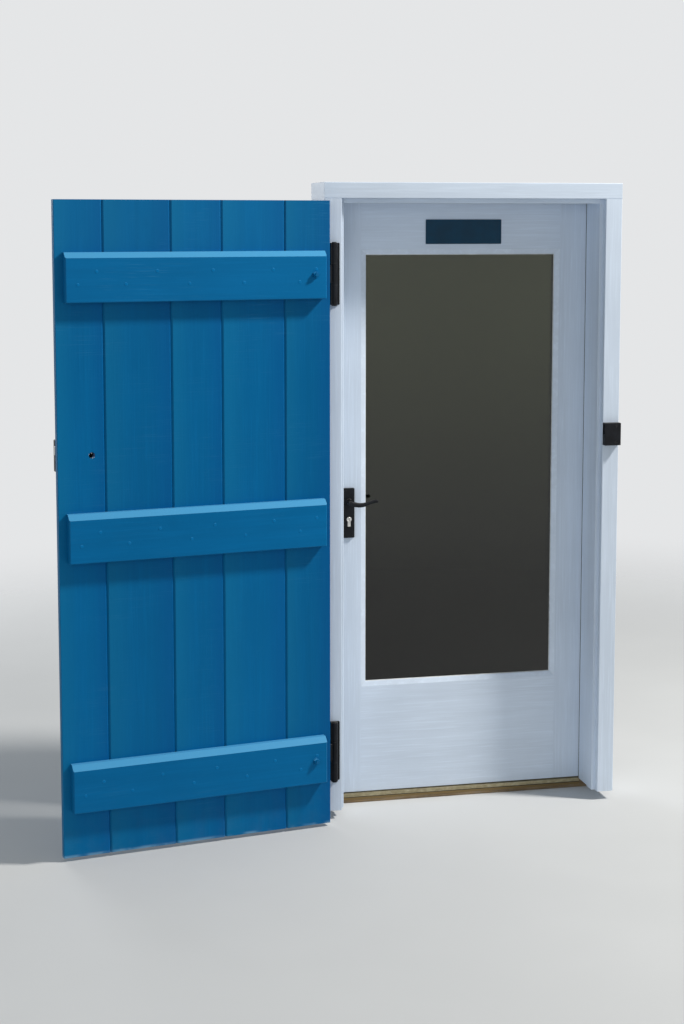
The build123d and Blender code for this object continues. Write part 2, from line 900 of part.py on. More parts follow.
# Lock of the glazed door
def lock_pocket():
    play = pocket_clearance
    half = case_thickness / 2 + play
    pocket = block(-door_half - overrun, case_start + case_length + play, lock_y - half, lock_y + half,
                   case_foot - play, case_head + play)
    return pocket + forend_blank(extended=overrun)


def forend_blank(extended=0):
    return block(-door_half - extended, -door_half + forend_thickness, lock_y - forend_width / 2,
                 lock_y + forend_width / 2, forend_foot, forend_head)


def lock_forend():
    plate = forend_blank()
    play = slide_clearance
    latch_hole = bolt_block(lever_height, latch_height + 2 * play, latch_thickness + 2 * play)
    dead_hole = bolt_block(dead_bolt_height_mid, dead_bolt_height + 2 * play, dead_bolt_thickness + 2 * play)
    return plate - latch_hole - dead_hole


def bolt_block(height, tall, thick, x_low=None, x_high=None):
    start = -door_half - overrun if x_low is None else x_low
    end = latch_x + overrun if x_high is None else x_high
    return block(start, end, lock_y - thick / 2, lock_y + thick / 2, height - tall / 2, height + tall / 2)


def euro_outline(grown, y_low, y_high):
    """The key-shaped section of the cylinder: a round head over a narrow tail."""
    head = rod_y(cylinder_radius + grown, lock_x, y_low, y_high, cylinder_height)
    half = cylinder_tail_width / 2 + grown
    tail_foot = cylinder_height - cylinder_tail_depth - grown
    return head + block(lock_x - half, lock_x + half, y_low, y_high, tail_foot, cylinder_height)


def lock_case():
    half = case_thickness / 2
    wall = case_wall
    shell = block(case_start, case_start + case_length, lock_y - half, lock_y + half, case_foot, case_head)
    shell -= block(case_start - overrun, case_start + case_length - wall, lock_y - half + wall,
                   lock_y + half - wall, case_foot + wall, case_head - wall)
    low = lock_y - half - overrun
    high = lock_y + half + overrun
    shell -= rod_y(hub_radius + running_clearance, lock_x, low, high, lever_height)
    return shell - euro_outline(slide_clearance, low, high)


def follower():
    """The turning hub that the lever's square spindle drives."""
    half = case_thickness / 2
    inner_half = half - case_wall - slide_clearance
    hub = rod_y(hub_radius, lock_x, lock_y - half, lock_y + half, lever_height)
    wheel = rod_y(follower_radius, lock_x, lock_y - inner_half, lock_y + inner_half, lever_height)
    arm_half = follower_arm_width / 2
    arm = block(lock_x - arm_half, lock_x + arm_half, lock_y - inner_half, lock_y + inner_half,
                lever_height, lever_height + follower_arm_reach)
    square = spindle_size / 2
    bore = block(lock_x - square, lock_x + square, lock_y - half - overrun, lock_y + half + overrun,
                 lever_height - square, lever_height + square)
    return hub + wheel + arm - bore


def latch_bolt():
    """The latch drawn in, its nose bevelled on the side that meets the strike first."""
    x_low = -door_half + slide_clearance
    half = latch_thickness / 2
    points = [
        (x_low, lock_y + half),
        (x_low, lock_y + half - latch_nose_flat),
        (x_low + latch_thickness - latch_nose_flat, lock_y - half),
        (latch_x, lock_y - half),
        (latch_x, lock_y + half),
    ]
    return upright(points, lever_height - latch_height / 2, lever_height + latch_height / 2)


def dead_bolt():
    x_low = -door_half + slide_clearance
    bolt = bolt_block(dead_bolt_height_mid, dead_bolt_height, dead_bolt_thickness, x_low, latch_x)
    return chamfer(bolt.faces().sort_by(Axis.X)[0].edges(), bolt_nose_chamfer)


def strike_blank(extended=0):
    return block(-opening_half - strike_thickness, -opening_half + extended, lock_y - strike_width / 2,
                 lock_y + strike_width / 2, strike_foot, strike_head)


def strike_plate():
    return strike_blank() - strike_holes(-opening_half - strike_thickness - overrun, -opening_half + overrun)


def strike_holes(x_low, x_high):
    play = 2 * strike_play
    latch = bolt_block(lever_height, latch_height + play, latch_thickness + play, x_low, x_high)
    dead_size = (dead_bolt_height + play, dead_bolt_thickness + play)
    return latch + bolt_block(dead_bolt_height_mid, *dead_size, x_low, x_high)


def jamb_with_strike():
    pockets = strike_holes(-opening_half - strike_pocket_depth, -opening_half)
    return inner_jamb() - strike_blank(extended=overrun) - pockets


def jamb_with_butts():
    jamb = mirrored(inner_jamb())
    for height in butt_heights:
        jamb -= butt_recess(height, opening_half, opening_half + butt_leaf_thickness)
    return jamb


def cylinder_body():
    y_low = -lever_plate_thickness - cylinder_stand_off
    y_high = door_thickness + lever_plate_thickness + cylinder_stand_off
    body = euro_outline(0, y_low, y_high)
    bore_radius = plug_radius + running_clearance
    body -= rod_y(bore_radius, lock_x, y_low - overrun, y_high + overrun, cylinder_height)
    sweep_radius = cam_reach + overrun
    gap = cam_width / 2 + slide_clearance
    return body - block(lock_x - sweep_radius, lock_x + sweep_radius, lock_y - gap, lock_y + gap,
                        cylinder_height - sweep_radius, cylinder_height + sweep_radius)


def key_plug():
    y_low = -lever_plate_thickness - cylinder_stand_off
    y_high = lock_y - cam_width / 2 - slide_clearance
    plug = rod_y(plug_radius, lock_x, y_low, y_high, cylinder_height)
    half_width = plug_slot_width / 2
    half_height = plug_slot_height / 2
    slot = block(lock_x - half_width, lock_x + half_width, y_low - overrun, y_low + plug_slot_depth,
                 cylinder_height - half_height, cylinder_height + half_height)
    return plug - slot


def cylinder_cam():
    half = cam_width / 2
    disc = rod_y(cam_disc_radius, lock_x, lock_y - half, lock_y + half, cylinder_height)
    lobe_half = cam_lobe_width / 2
    lobe = block(lock_x - lobe_half, lock_x + lobe_half, lock_y - half, lock_y + half,
                 cylinder_height - cam_reach, cylinder_height)
    return disc + lobe


def thumb_turn():
    y_low = lock_y + cam_width / 2
    plate_back = door_thickness + lever_plate_thickness + cylinder_stand_off
    y_high = plate_back + thumb_turn_length
    stem = rod_y(plug_radius, lock_x, y_low, plate_back, cylinder_height)
    neck = rod_y(thumb_turn_radius, lock_x, plate_back + slide_clearance, y_high, cylinder_height)
    collar = rod_y(plug_radius, lock_x, plate_back, plate_back + slide_clearance, cylinder_height)
    half = thumb_grip_width / 2
    grip_end = y_high + thumb_grip_proud
    grip = block(lock_x - thumb_grip_thickness / 2, lock_x + thumb_grip_thickness / 2,
                 grip_end - thumb_grip_length, grip_end, cylinder_height - half, cylinder_height + half)
    grip = fillet(grip.edges().filter_by(Axis.X), thumb_grip_thickness / 2)
    return stem + collar + neck + grip


# Lever furniture
def furniture_holes():
    play = furniture_hole_play
    bore = rod_y(lever_neck_radius + play, lock_x, -overrun, door_thickness + overrun, lever_height)
    return [bore, euro_outline(play, -overrun, door_thickness + overrun)]


def lever_plate():
    x_half = lever_plate_width / 2
    thick = lever_plate_thickness
    boss_front = -thick - lever_boss_length
    plate = block(lock_x - x_half, lock_x + x_half, -thick, 0, lever_plate_foot, lever_plate_head)
    plate = fillet(plate.edges().filter_by(Axis.Y), lever_plate_corner)
    plate = fillet(plate.faces().sort_by(Axis.Y)[0].edges(), lever_plate_edge)
    boss = rod_y(lever_boss_radius, lock_x, boss_front, -thick, lever_height)
    plate += fillet(boss.edges().sort_by(Axis.Y)[:1], lever_boss_edge)
    bore_radius = lever_neck_radius + running_clearance
    plate -= rod_y(bore_radius, lock_x, boss_front - overrun, overrun, lever_height)
    return plate - euro_outline(slide_clearance, -thick - overrun, overrun)


def lever():
    """A round neck and a forged grip that dips, then curls up at its tip."""
    y_grip = -lever_stand_off
    square = spindle_size / 2
    neck = rod_y(lever_neck_radius, lock_x, y_grip, -slide_clearance, lever_height)
    neck -= block(lock_x - square, lock_x + square, y_grip + lever_thickness, 0,
                  lever_height - square, lever_height + square)
    sections = []
    for number in range(lever_sections):
        share = number / (lever_sections - 1)
        x = lock_x + share * lever_reach
        z = lever_height - lever_dip * sin(share * lever_wave) * sqrt(share)
        depth, tall = [root + share * (tip - root) for root, tip in zip(lever_root_size, lever_tip_size)]
        plane = Plane(origin=(x, y_grip, z), x_dir=(0, 1, 0), z_dir=(1, 0, 0))
        sections.append(plane * Ellipse(depth / 2, tall / 2))
    grip = loft(sections)
    half = lever_thickness / 2
    hub = rod_y(lever_hub_radius, lock_x, y_grip - half, y_grip + half, lever_height)
    hub = fillet(hub.edges().sort_by(Axis.Y)[:1], lever_hub_edge)
    return grip + hub + neck


def spindle():
    square = spindle_size / 2
    reach = lever_stand_off - lever_thickness
    return block(lock_x - square, lock_x + square, -reach, door_thickness + reach,
                 lever_height - square, lever_height + square)


# Butt hinges of the glazed door
def butt_recess(height, x_low, x_high):
    return block(x_low, x_high, door_thickness - butt_leaf_depth, door_thickness,
                 height - butt_height / 2, height + butt_height / 2)


def butt_half(height, on_frame):
    """One leaf of a butt hinge with its own knuckles: three on the frame, two on the door."""
    low = height - butt_height / 2
    pitch = butt_height / butt_knuckles
    if on_frame:
        x_low, x_high = opening_half, opening_half + butt_leaf_thickness
    else:
        x_low, x_high = door_half - butt_leaf_thickness, door_half
    flap = block(x_low, x_high, door_thickness - butt_leaf_depth, butt_axis_y, low, low + butt_height)
    barrel = None
    for number in range(butt_knuckles):
        z_low = low + number * pitch
        mine = number % 2 == (0 if on_frame else 1)
        if mine:
            play = 0 if on_frame else knuckle_play
            turn = rod_z(butt_knuckle_radius, butt_axis_x, butt_axis_y, z_low + play, z_low + pitch - play)
            barrel = turn if barrel is None else barrel + turn
        else:
            room = butt_knuckle_radius + knuckle_room
            flap -= block(butt_axis_x - room, butt_axis_x + room, butt_axis_y - room, butt_axis_y + room,
                          z_low, z_low + pitch)
    bore = butt_pin_radius + (0 if on_frame else running_clearance)
    return flap + barrel - rod_z(bore, butt_axis_x, butt_axis_y, low - overrun, low + butt_height + overrun)


def butt_pin(height):
    low = height - butt_height / 2
    high = low + butt_height
    pin = rod_z(butt_pin_radius, butt_axis_x, butt_axis_y, low, high)
    cap = rod_z(butt_knuckle_radius, butt_axis_x, butt_axis_y, high, high + butt_pin_radius)
    return pin + fillet(cap.edges().sort_by(Axis.Z)[-1:], butt_pin_crown)


def opened(shape):
    """Carries a piece of the shut leaf to where it stands open."""
    pivot = Axis((hook_axis_x, hook_axis_y, 0), (0, 0, 1))
    return shape.rotate(pivot, -leaf_open_angle)


def with_plate_screws(jamb):
    for height in hook_heights:
        for screw in hinge_plate_screws_at(height):
            jamb -= screw
    return jamb


def with_keep_screws(jamb):
    for screw in keep_screws():
        jamb -= screw
    return jamb


def frame_nodes():
    lower, upper = hook_heights
    return {
        "outer_jamb_left": with_plate_screws(outer_jamb()),
        "outer_jamb_right": with_keep_screws(mirrored(outer_jamb())),
        "outer_head": outer_head(),
        "inner_jamb_left": jamb_with_strike(),
        "inner_jamb_right": jamb_with_butts(),
        "inner_head": inner_head(),
        "sill": sill(),
        "threshold_bar": threshold_bar(),
        "door_seal": door_seal(),
        "hinge_plate_upper": hinge_plate(upper),
        "hinge_plate_lower": hinge_plate(lower),
        "hinge_pin_upper": hinge_pin(upper),
        "hinge_pin_lower": hinge_pin(lower),
        "box_keep": box_keep(),
        "frame_screws": group(hinge_plate_screws_at(lower) + hinge_plate_screws_at(upper) + keep_screws()),
        "strike_plate": strike_plate(),
        "butt_hinge_frame_halves": group([butt_half(height, True) for height in butt_heights]),
        "butt_hinge_pins": group([butt_pin(height) for height in butt_heights]),
    }


def leaf_nodes():
    lower, upper = hook_heights
    nodes = {}
    for number, plank in enumerate(boards()):
        nodes[f"board_{number + 1}"] = plank
    nodes["ledge_bottom"] = ledge(low_ledge_foot)
    nodes["ledge_middle"] = ledge(middle_ledge_foot)
    nodes["ledge_top"] = ledge(top_ledge_foot)
    nodes["hinge_band_lower"] = hinge_band(lower)
    nodes["hinge_band_upper"] = hinge_band(upper)
    nodes["coach_bolts"] = group([coach_bolt(height) for height in hook_heights])
    nodes["coach_nuts"] = group([coach_nut(height) for height in hook_heights])
    nodes["rim_lock_case"] = rim_lock_case()
    nodes["leaf_screws"] = group(band_screws_at(lower) + band_screws_at(upper) + rim_lock_screws())
    nodes["rim_bolt"] = rim_bolt()
    return {name: opened(shape) for name, shape in nodes.items()}


def door_nodes():
    return {
        "lock_stile": lock_stile(),
        "hinge_stile": hinge_stile(),
        "top_rail": top_rail(),
        "bottom_rail": bottom_rail(),
        "outer_pane": pane(outer_pane_front),
        "inner_pane": pane(inner_pane_front),
        "glazing_spacer": spacer(),
        "glazing_tape": glass_ring(0, lip_width - spacer_edge, unit_back, lip_front),
        "setting_blocks": setting_blocks(),
        "glazing_beads": glazing_beads(),
        "nameplate": nameplate(),
        "lock_case": lock_case(),
        "lock_forend": lock_forend(),
        "cylinder_body": cylinder_body(),
        "key_plug": key_plug(),
        "lever_plate_outer": lever_plate(),
        "lever_plate_inner": turned_inside_out(lever_plate()),
        "butt_hinge_door_halves": group([butt_half(height, False) for height in butt_heights]),
        "latch_bolt": latch_bolt(),
        "dead_bolt": dead_bolt(),
        "cylinder_cam": cylinder_cam(),
        "thumb_turn": thumb_turn(),
        "follower": follower(),
        "spindle": spindle(),
        "lever_outer": lever(),
        "lever_inner": turned_inside_out(lever()),
    }


def main():
    os.makedirs("parts", exist_ok=True)
    for nodes in (frame_nodes(), leaf_nodes(), door_nodes()):
        for name, shape in nodes.items():
            export_step(shape, f"parts/{name}.step")


main()
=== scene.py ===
import json
from math import atan2, cos, hypot, pi, radians, sin

import bmesh
import bpy
from bpy.props import FloatProperty, FloatVectorProperty, IntProperty, PointerProperty
from bpy.types import Operator, Panel, PropertyGroup
from mathutils import Matrix, Vector


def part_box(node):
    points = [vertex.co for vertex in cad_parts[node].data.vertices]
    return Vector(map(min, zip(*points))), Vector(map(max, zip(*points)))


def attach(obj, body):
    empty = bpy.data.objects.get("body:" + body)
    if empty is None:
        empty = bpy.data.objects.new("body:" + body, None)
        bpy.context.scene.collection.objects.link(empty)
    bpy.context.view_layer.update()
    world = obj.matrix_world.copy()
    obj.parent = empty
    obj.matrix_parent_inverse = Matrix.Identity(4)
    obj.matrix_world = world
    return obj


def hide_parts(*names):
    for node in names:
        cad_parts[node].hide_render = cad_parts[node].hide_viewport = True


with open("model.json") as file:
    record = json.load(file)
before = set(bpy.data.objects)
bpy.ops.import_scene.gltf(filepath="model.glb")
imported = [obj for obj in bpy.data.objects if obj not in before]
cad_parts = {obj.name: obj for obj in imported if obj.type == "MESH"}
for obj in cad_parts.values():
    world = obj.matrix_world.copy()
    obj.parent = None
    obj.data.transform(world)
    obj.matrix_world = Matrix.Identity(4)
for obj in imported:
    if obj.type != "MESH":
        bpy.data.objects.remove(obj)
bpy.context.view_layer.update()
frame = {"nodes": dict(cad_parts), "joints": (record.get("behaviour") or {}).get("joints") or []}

# Looks of a timber door set: a white frame with a glazed door and a blue boarded leaf.
# Metres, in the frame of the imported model: +X to the right seen from outside, +Y inwards.

bl_info = {
    "name": "Door set finishes",
    "version": (1, 0, 0),
    "blender": (4, 5, 0),
    "location": "View3D > Sidebar > Door set",
    "description": "Paint, ironwork, glazing and fixings of a stable door set",
    "category": "Object",
}

joints = {joint["name"]: joint for joint in frame["joints"]}

LEAF_HINGE = joints["boarded_leaf_hinge"]
LEAF_TURN = radians(LEAF_HINGE["range_deg"][1])
LEAF_PIVOT = Matrix.Translation(Vector(LEAF_HINGE["pos_m"]))
TO_SHUT = LEAF_PIVOT @ Matrix.Rotation(LEAF_TURN, 4, "Z") @ LEAF_PIVOT.inverted()
TO_OPEN = TO_SHUT.inverted()
UPRIGHT = (150.0, 150.0, 5.0)    # brush streaks per metre across and along an upright piece
LEVEL = (5.0, 150.0, 150.0)    # the same on a level piece
ALL_WAYS = (40.0, 40.0, 40.0)    # the same on a small fixing
BEAD_STREAKS = (60.0, 60.0, 60.0)    # the same on a glazing bead
KNOTS_PER_METRE = (3.2, 1.0, 2.3)    # along X, Y and Z
WHITE_TIMBER = (    # finish, brush streaks, knots, chips along the edges, soil, nodes
    ("white_upright", UPRIGHT, 1.0, 0.10, 0.08,
     ("outer_jamb_left", "outer_jamb_right", "inner_jamb_left", "inner_jamb_right")),
    ("white_level", LEVEL, 1.0, 0.10, 0.08, ("outer_head", "inner_head")),
    ("white_stile", UPRIGHT, 0.5, 0.06, 0.05, ("lock_stile", "hinge_stile")),
    ("white_rail", LEVEL, 0.5, 0.06, 0.05, ("top_rail", "bottom_rail")),
    ("white_bead", BEAD_STREAKS, 0.0, 0.08, 0.05, ("glazing_beads",)),
)
BOARDS = [f"board_{number}" for number in range(1, 6)]
LEDGES = ["ledge_bottom", "ledge_middle", "ledge_top"]
BOARD_TONES = (1.03, 0.97, 1.01, 1.03, 0.93)    # from the lock side to the hinge side
LEDGE_TONES = (1.02, 1.04, 1.07)    # from the foot up
BOARDS_FADE_FROM = 1.45    # height above which the boards' paint pales, up to their head
LEDGE_FADE = (1.2, 2.6)    # heights between which the ledges' paint pales
LEAF_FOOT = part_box(BOARDS[0])[0].z
HOLLOW = 0.0014    # how far the edges of a board stand above its shrunken middle
GROOVE_HEIGHT = 0.0195    # height of the groove along the front of the threshold bar, painted dark as its shadow
SMOOTH_BELOW = radians(32)    # flatter angles between faces are shaded as one curve
SAME_POINT = 1e-6    # corners that are closer than this are one

# Where added fixings sit
LEDGE_SCREWS = ((0.28, 0.62, 0.14), (0.72, 0.36, 0.86))    # shares: across, up to a head, up to a nail
HINGE_SCREWS = ((0.022, 0.36), (0.010, 0.13),    # metres from the back, share of the height
                (0.010, -0.13), (0.022, -0.36))
LEVER_PLATE_THICKNESS = 0.008
RIM_PROUD = 0.0007    # how far the key plug's rim reaches past the plug
RIM_SECTION = ((0.0, -0.0004), (0.0, 0.0003), (0.0004, 0.0006),
               (0.0011, 0.0005), (0.0013, 0.0001), (0.0013, -0.0004))    # inset and height

# Colours that one finish uses
BARE_TIMBER = (0.36, 0.30, 0.22)
THIN_BLUE = (0.07, 0.33, 0.56)    # rubbed edges of the leaf
FADED_BLUE = (0.030, 0.190, 0.390)    # towards the head of the leaf
WORN_BLUE = (0.24, 0.44, 0.60)    # along the foot of the leaf
UPWARD_HIGHLIGHT_BLUE = (0.085, 0.37, 0.64)    # painted highlight on the leaf's upward faces, where light falls from above
DRY_DUST = (0.46, 0.43, 0.37)
DRY_MUD = (0.30, 0.26, 0.20)
IRON_DUST = (0.17, 0.155, 0.13)
SILL = {"dark grain": (0.085, 0.052, 0.023), "pale grain": (0.30, 0.205, 0.10),
        "band": (0.155, 0.10, 0.048), "mud": (0.24, 0.21, 0.165), "edge": (0.42, 0.33, 0.21)}
METALS = {    # tone, lines per metre along X, Y and Z, least and most roughness
    "satin_steel": ((0.42, 0.42, 0.43), (900.0, 900.0, 40.0), (0.18, 0.34)),
    "bright_bolts": ((0.55, 0.55, 0.54), (60.0, 1200.0, 1200.0), (0.12, 0.24)),
    "satin_nickel": ((0.66, 0.655, 0.63), (700.0, 700.0, 700.0), (0.2, 0.32)),
    "spacer_bar": ((0.10, 0.10, 0.11), (300.0, 300.0, 300.0), (0.4, 0.55)),
}
# the groove colour is a painted shadow along the threshold bar's groove
BRONZE = {"dark": (0.29, 0.245, 0.14), "pale": (0.40, 0.35, 0.22), "scuff": (0.58, 0.53, 0.43),
          "edge": (0.60, 0.56, 0.47), "foot": (0.20, 0.135, 0.052), "groove": (0.022, 0.018, 0.012)}
FLOOR = ((0.58, 0.59, 0.595), (0.60, 0.61, 0.615))
FLOOR_FADE = (0.30, 0.86)    # shares of its radius between which the floor fades out
SKY_COLOUR = (0.86, 0.94, 1.0)    # light on the part
BACKDROP = (0.78, 0.79, 0.80)    # what the camera and reflections see

LAMP_AIM = (-0.4, 0.0, 1.0)
LAMPS = (    # name, place, diameter, setting, share of its power, colour
    ("key_lamp", (3.9, -1.75, 5.9), 0.8, "key_power", 1.0, (1.0, 0.965, 0.91)),
    ("fill_lamp", (-3.5, -6.5, 2.6), 3.0, "fill_power", 1.0, (0.92, 0.96, 1.0)),
    ("back_lamp", (-3.0, 6.5, 3.4), 3.0, "fill_power", 2.0, (0.94, 0.97, 1.0)),
)


# Settings that a user would change
def colour_setting(name, description, default):
    return FloatVectorProperty(name=name, description=description, subtype="COLOR", size=3,
                               min=0.0, max=1.0, default=default)


def length_setting(name, description, default, least=0.0):
    return FloatProperty(name=name, description=description, unit="LENGTH", default=default,
                         min=least, precision=5)


class PaintSettings(PropertyGroup):
    # the white's bluish cast is partly the paint and partly painted sky light
    white: colour_setting("White", "Paint of the frame and the glazed door", (0.65, 0.735, 0.85))
    blue: colour_setting("Blue", "Paint of the boarded leaf", (0.001, 0.129, 0.322))
    streak_depth: length_setting("Brush depth", "Depth of the brush marks in the paint", 0.00022)
    grain_depth: length_setting(
        "Grain depth", "Height of the timber grain that shows through the paint", 0.00035)
    arris: length_setting("Paint radius", "Radius that the paint gives to a sharp edge", 0.0012)


class MetalSettings(PropertyGroup):
    iron: colour_setting("Iron coat", "Black coat of the ironwork", (0.006, 0.0068, 0.009))
    worn_iron: colour_setting("Worn iron", "Bare metal where the coat is rubbed", (0.16, 0.15, 0.14))
    plate: colour_setting("Nameplate", "Enamel of the blank nameplate", (0.0005, 0.034, 0.070))
    hammer_depth: length_setting("Hammer depth", "Depth of the uneven face of the ironwork", 0.0003)


class FixingSettings(PropertyGroup):
    plug_radius: length_setting("Painted head radius", "Painted screw heads on the ledges", 0.0048, 0.001)
    plug_height: length_setting("Painted head height", "How far a painted head stands out", 0.0006, 0.0001)
    nail_radius: length_setting("Nail radius", "Nail heads on the outer face of the boards", 0.0052, 0.001)
    furniture_screw: length_setting("Plate screw radius", "Screws of the lever plates", 0.0032, 0.001)
    hinge_screw: length_setting(
        "Hinge screw radius", "Screws of the butt hinges and lock plates", 0.0038, 0.001)
    segments: IntProperty(
        name="Segments", description="Straight edges round a screw head", default=32, min=12)


class GlazingSettings(PropertyGroup):
    # the panes' dark colour is painted shade of the dim room behind the glass
    tint: colour_setting("Glass", "What each pane lets through", (0.155, 0.165, 0.125))
    sealant_width: length_setting(
        "Sealant width", "Sealant between the beads and the glass", 0.0022, 0.0005)
    bead_width: length_setting("Bead width", "Width of a glazing bead seen from outside", 0.017, 0.005)
    bead_depth: length_setting("Bead depth", "From the face of the door to the glass", 0.011, 0.002)


class StageSettings(PropertyGroup):
    viewpoint: FloatVectorProperty(
        name="Viewpoint", description="Where the camera stands", subtype="XYZ", unit="LENGTH",
        size=3, default=(-1.754, -5.933, 1.989))
    aim: FloatVectorProperty(
        name="Aim", description="Point that the camera looks at", subtype="XYZ", unit="LENGTH",
        size=3, default=(-0.437, -0.10, 1.33))
    lens: FloatProperty(
        name="Lens", description="Focal length in millimetres", default=64.0, min=10.0)
    drop: FloatProperty(
        name="Drop", description="How far the picture reaches below the aim, as a share of its height",
        default=0.088, min=0.0, max=0.3, precision=3)
    floor_radius: length_setting("Floor radius", "Where the floor has faded out", 6.5, 2.0)
    key_power: FloatProperty(
        name="Key lamp", description="Power of the lamp at the upper right", unit="POWER",
        default=505.0, min=0.0)
    fill_power: FloatProperty(
        name="Fill lamps", description="Power of the soft lamp in front. The one behind has twice this",
        unit="POWER", default=60.0, min=0.0)
    sky_level: FloatProperty(
        name="Sky", description="Strength of the even light from all round", default=0.30, min=0.0)


# Node building
def set_socket(tree, socket, value):
    """Links a value that varies over the surface, or stores one that doesn't."""
    if isinstance(value, bpy.types.NodeSocket):
        tree.links.new(value, socket)
    elif socket.type == "RGBA":
        socket.default_value = (*value, 1.0)
    else:
        socket.default_value = value


def feed(tree, sockets, **values):
    """Links or stores values at sockets that are found by their labels."""
    for label, value in values.items():
        set_socket(tree, sockets[label.replace("_", " ")], value)


def add_node(tree, kind, inputs=None, **properties):
    """One shader node, with its own properties set and its inputs linked or given a value."""
    made = tree.nodes.new(f"ShaderNode{kind}")
    for name, value in properties.items():
        setattr(made, name, value)
    for name, value in (inputs or {}).items():
        set_socket(tree, made.inputs[name], value)
    return made


def calc(tree, operation, first, second=0.0, clamp=False):
    node = add_node(tree, "Math", {0: first, 1: second}, operation=operation, use_clamp=clamp)
    return node.outputs[0]


def times(tree, first, second):
    return calc(tree, "MULTIPLY", first, second)


def vector_calc(tree, operation, first, second):
    node = add_node(tree, "VectorMath", {0: first, 1: second}, operation=operation)
    return node.outputs["Vector"]


def ramped(tree, value, low, high, low_out=0.0, high_out=1.0):
    """A smooth step of the value, from one output to the other."""
    inputs = {"Value": value, "From Min": low, "From Max": high, "To Min": low_out, "To Max": high_out}
    return add_node(tree, "MapRange", inputs, interpolation_type="SMOOTHSTEP").outputs["Result"]


def mixed(tree, share, first, second):
    return add_node(tree, "Mix", {0: share, 6: first, 7: second}, data_type="RGBA").outputs[2]


def toned(tree, value, colour, dark, pale, low=0.35):
    """A colour that goes from a darker to a paler tone with a noise value."""
    return mixed(tree, ramped(tree, value, low, 0.7), shaded(colour, dark), shaded(colour, pale))


def layered(tree, base, *layers):
    """A base with colours laid over it, each as far as its mask times its share says."""
    for mask, share, colour in layers:
        base = mixed(tree, times(tree, mask, share), base, colour)
    return base


def noise(tree, place, scale, detail=4.0, roughness=0.55, distortion=0.0):
    inputs = {"Vector": place, "Scale": scale, "Detail": detail, "Roughness": roughness,
              "Distortion": distortion}
    return add_node(tree, "TexNoise", inputs).outputs["Fac"]


def drawn_noise(tree, place, stretch, detail, roughness, distortion=0.0):
    """Noise whose spots per metre differ along the three axes."""
    return noise(tree, vector_calc(tree, "MULTIPLY", place, stretch), 1.0, detail, roughness, distortion)


def rest_place(tree):
    """Where a point of the surface lies when the part is at rest."""
    return add_node(tree, "TexCoord").outputs["Object"]


def turned_place(tree, turn, centre=(0.0, 0.0, 0.0)):
    """The same place, turned about an upright axis."""
    inputs = {"Vector": rest_place(tree), "Center": centre, "Angle": turn}
    return add_node(tree, "VectorRotate", inputs, rotation_type="Z_AXIS").outputs["Vector"]


def part_along(tree, vector, axis):
    return add_node(tree, "SeparateXYZ", {"Vector": vector}).outputs[axis]


def new_group(name, inputs, outputs):
    """An empty group. An input is a vector where its default is one, and so is an output named Normal."""
    group = bpy.data.node_groups.new(name, "ShaderNodeTree")
    for label, default in inputs.items():
        kind = "NodeSocketVector" if isinstance(default, tuple) else "NodeSocketFloat"
        group.interface.new_socket(label, in_out="INPUT", socket_type=kind).default_value = default
    for label in outputs:
        kind = "NodeSocketVector" if label == "Normal" else "NodeSocketFloat"
        group.interface.new_socket(label, in_out="OUTPUT", socket_type=kind)
    given = group.nodes.new("NodeGroupInput").outputs
    result = group.nodes.new("NodeGroupOutput").inputs
    return group, given, result


def effect(tree, build, **values):
    """The shared group that a function builds, placed in a material with its own values."""
    node = tree.nodes.new("ShaderNodeGroup")
    node.node_tree = bpy.data.node_groups.get(build.__name__) or build()
    feed(tree, node.inputs, **values)
    return node.outputs


# Effects that several finishes share
def brush_marks():
    """Streaks of the paint brush along a piece, and slow changes of tone."""
    group, given, result = new_group(
        "brush_marks", {"Turn": 0.0, "Stretch": UPRIGHT}, ("Streaks", "Tone", "Laps"))
    place = turned_place(group, given["Turn"])
    fine = vector_calc(group, "MULTIPLY", place, given["Stretch"])
    streaks = noise(group, fine, 1.0, 6.0, 0.62, 0.25)
    tone = noise(group, place, 2.6, 3.0, 0.5)
    laps = drawn_noise(group, fine, (0.16, 0.16, 0.16), 3.0, 0.6, 0.6)
    feed(group, result, Streaks=streaks, Tone=tone, Laps=laps)
    return group


def timber_grain():
    """Raised grain and a few knots that show through the paint."""
    group, given, result = new_group(
        "timber_grain", {"Turn": 0.0, "Stretch": UPRIGHT, "Knots": 1.0}, ("Relief", "Knot"))
    place = turned_place(group, given["Turn"])
    spread = {"Vector": vector_calc(group, "MULTIPLY", place, KNOTS_PER_METRE), "Scale": 1.0}
    cells = add_node(group, "TexVoronoi", spread, feature="F1").outputs
    near_knot = ramped(group, cells["Distance"], 0.02, 0.075, 1.0, 0.0)
    chosen = ramped(group, noise(group, cells["Position"], 4.0, 0.0), 0.47, 0.53)
    knot = times(group, times(group, near_knot, chosen), given["Knots"])
    bend = times(group, ramped(group, cells["Distance"], 0.0, 0.35, 1.0, 0.0), 6.0)
    bends = add_node(group, "CombineXYZ", {"X": bend, "Y": bend, "Z": bend}).outputs[0]
    stretched = vector_calc(group, "MULTIPLY", place, given["Stretch"])
    straight = vector_calc(group, "MULTIPLY", stretched, (0.45, 0.45, 0.45))
    lines = noise(group, vector_calc(group, "ADD", straight, bends), 1.0, 4.0, 0.7, 0.4)
    ridges = calc(group, "ABSOLUTE", calc(group, "SUBTRACT", lines, 0.5))
    relief = calc(group, "SUBTRACT", times(group, knot, 0.5), ridges)
    feed(group, result, Relief=relief, Knot=knot)
    return group


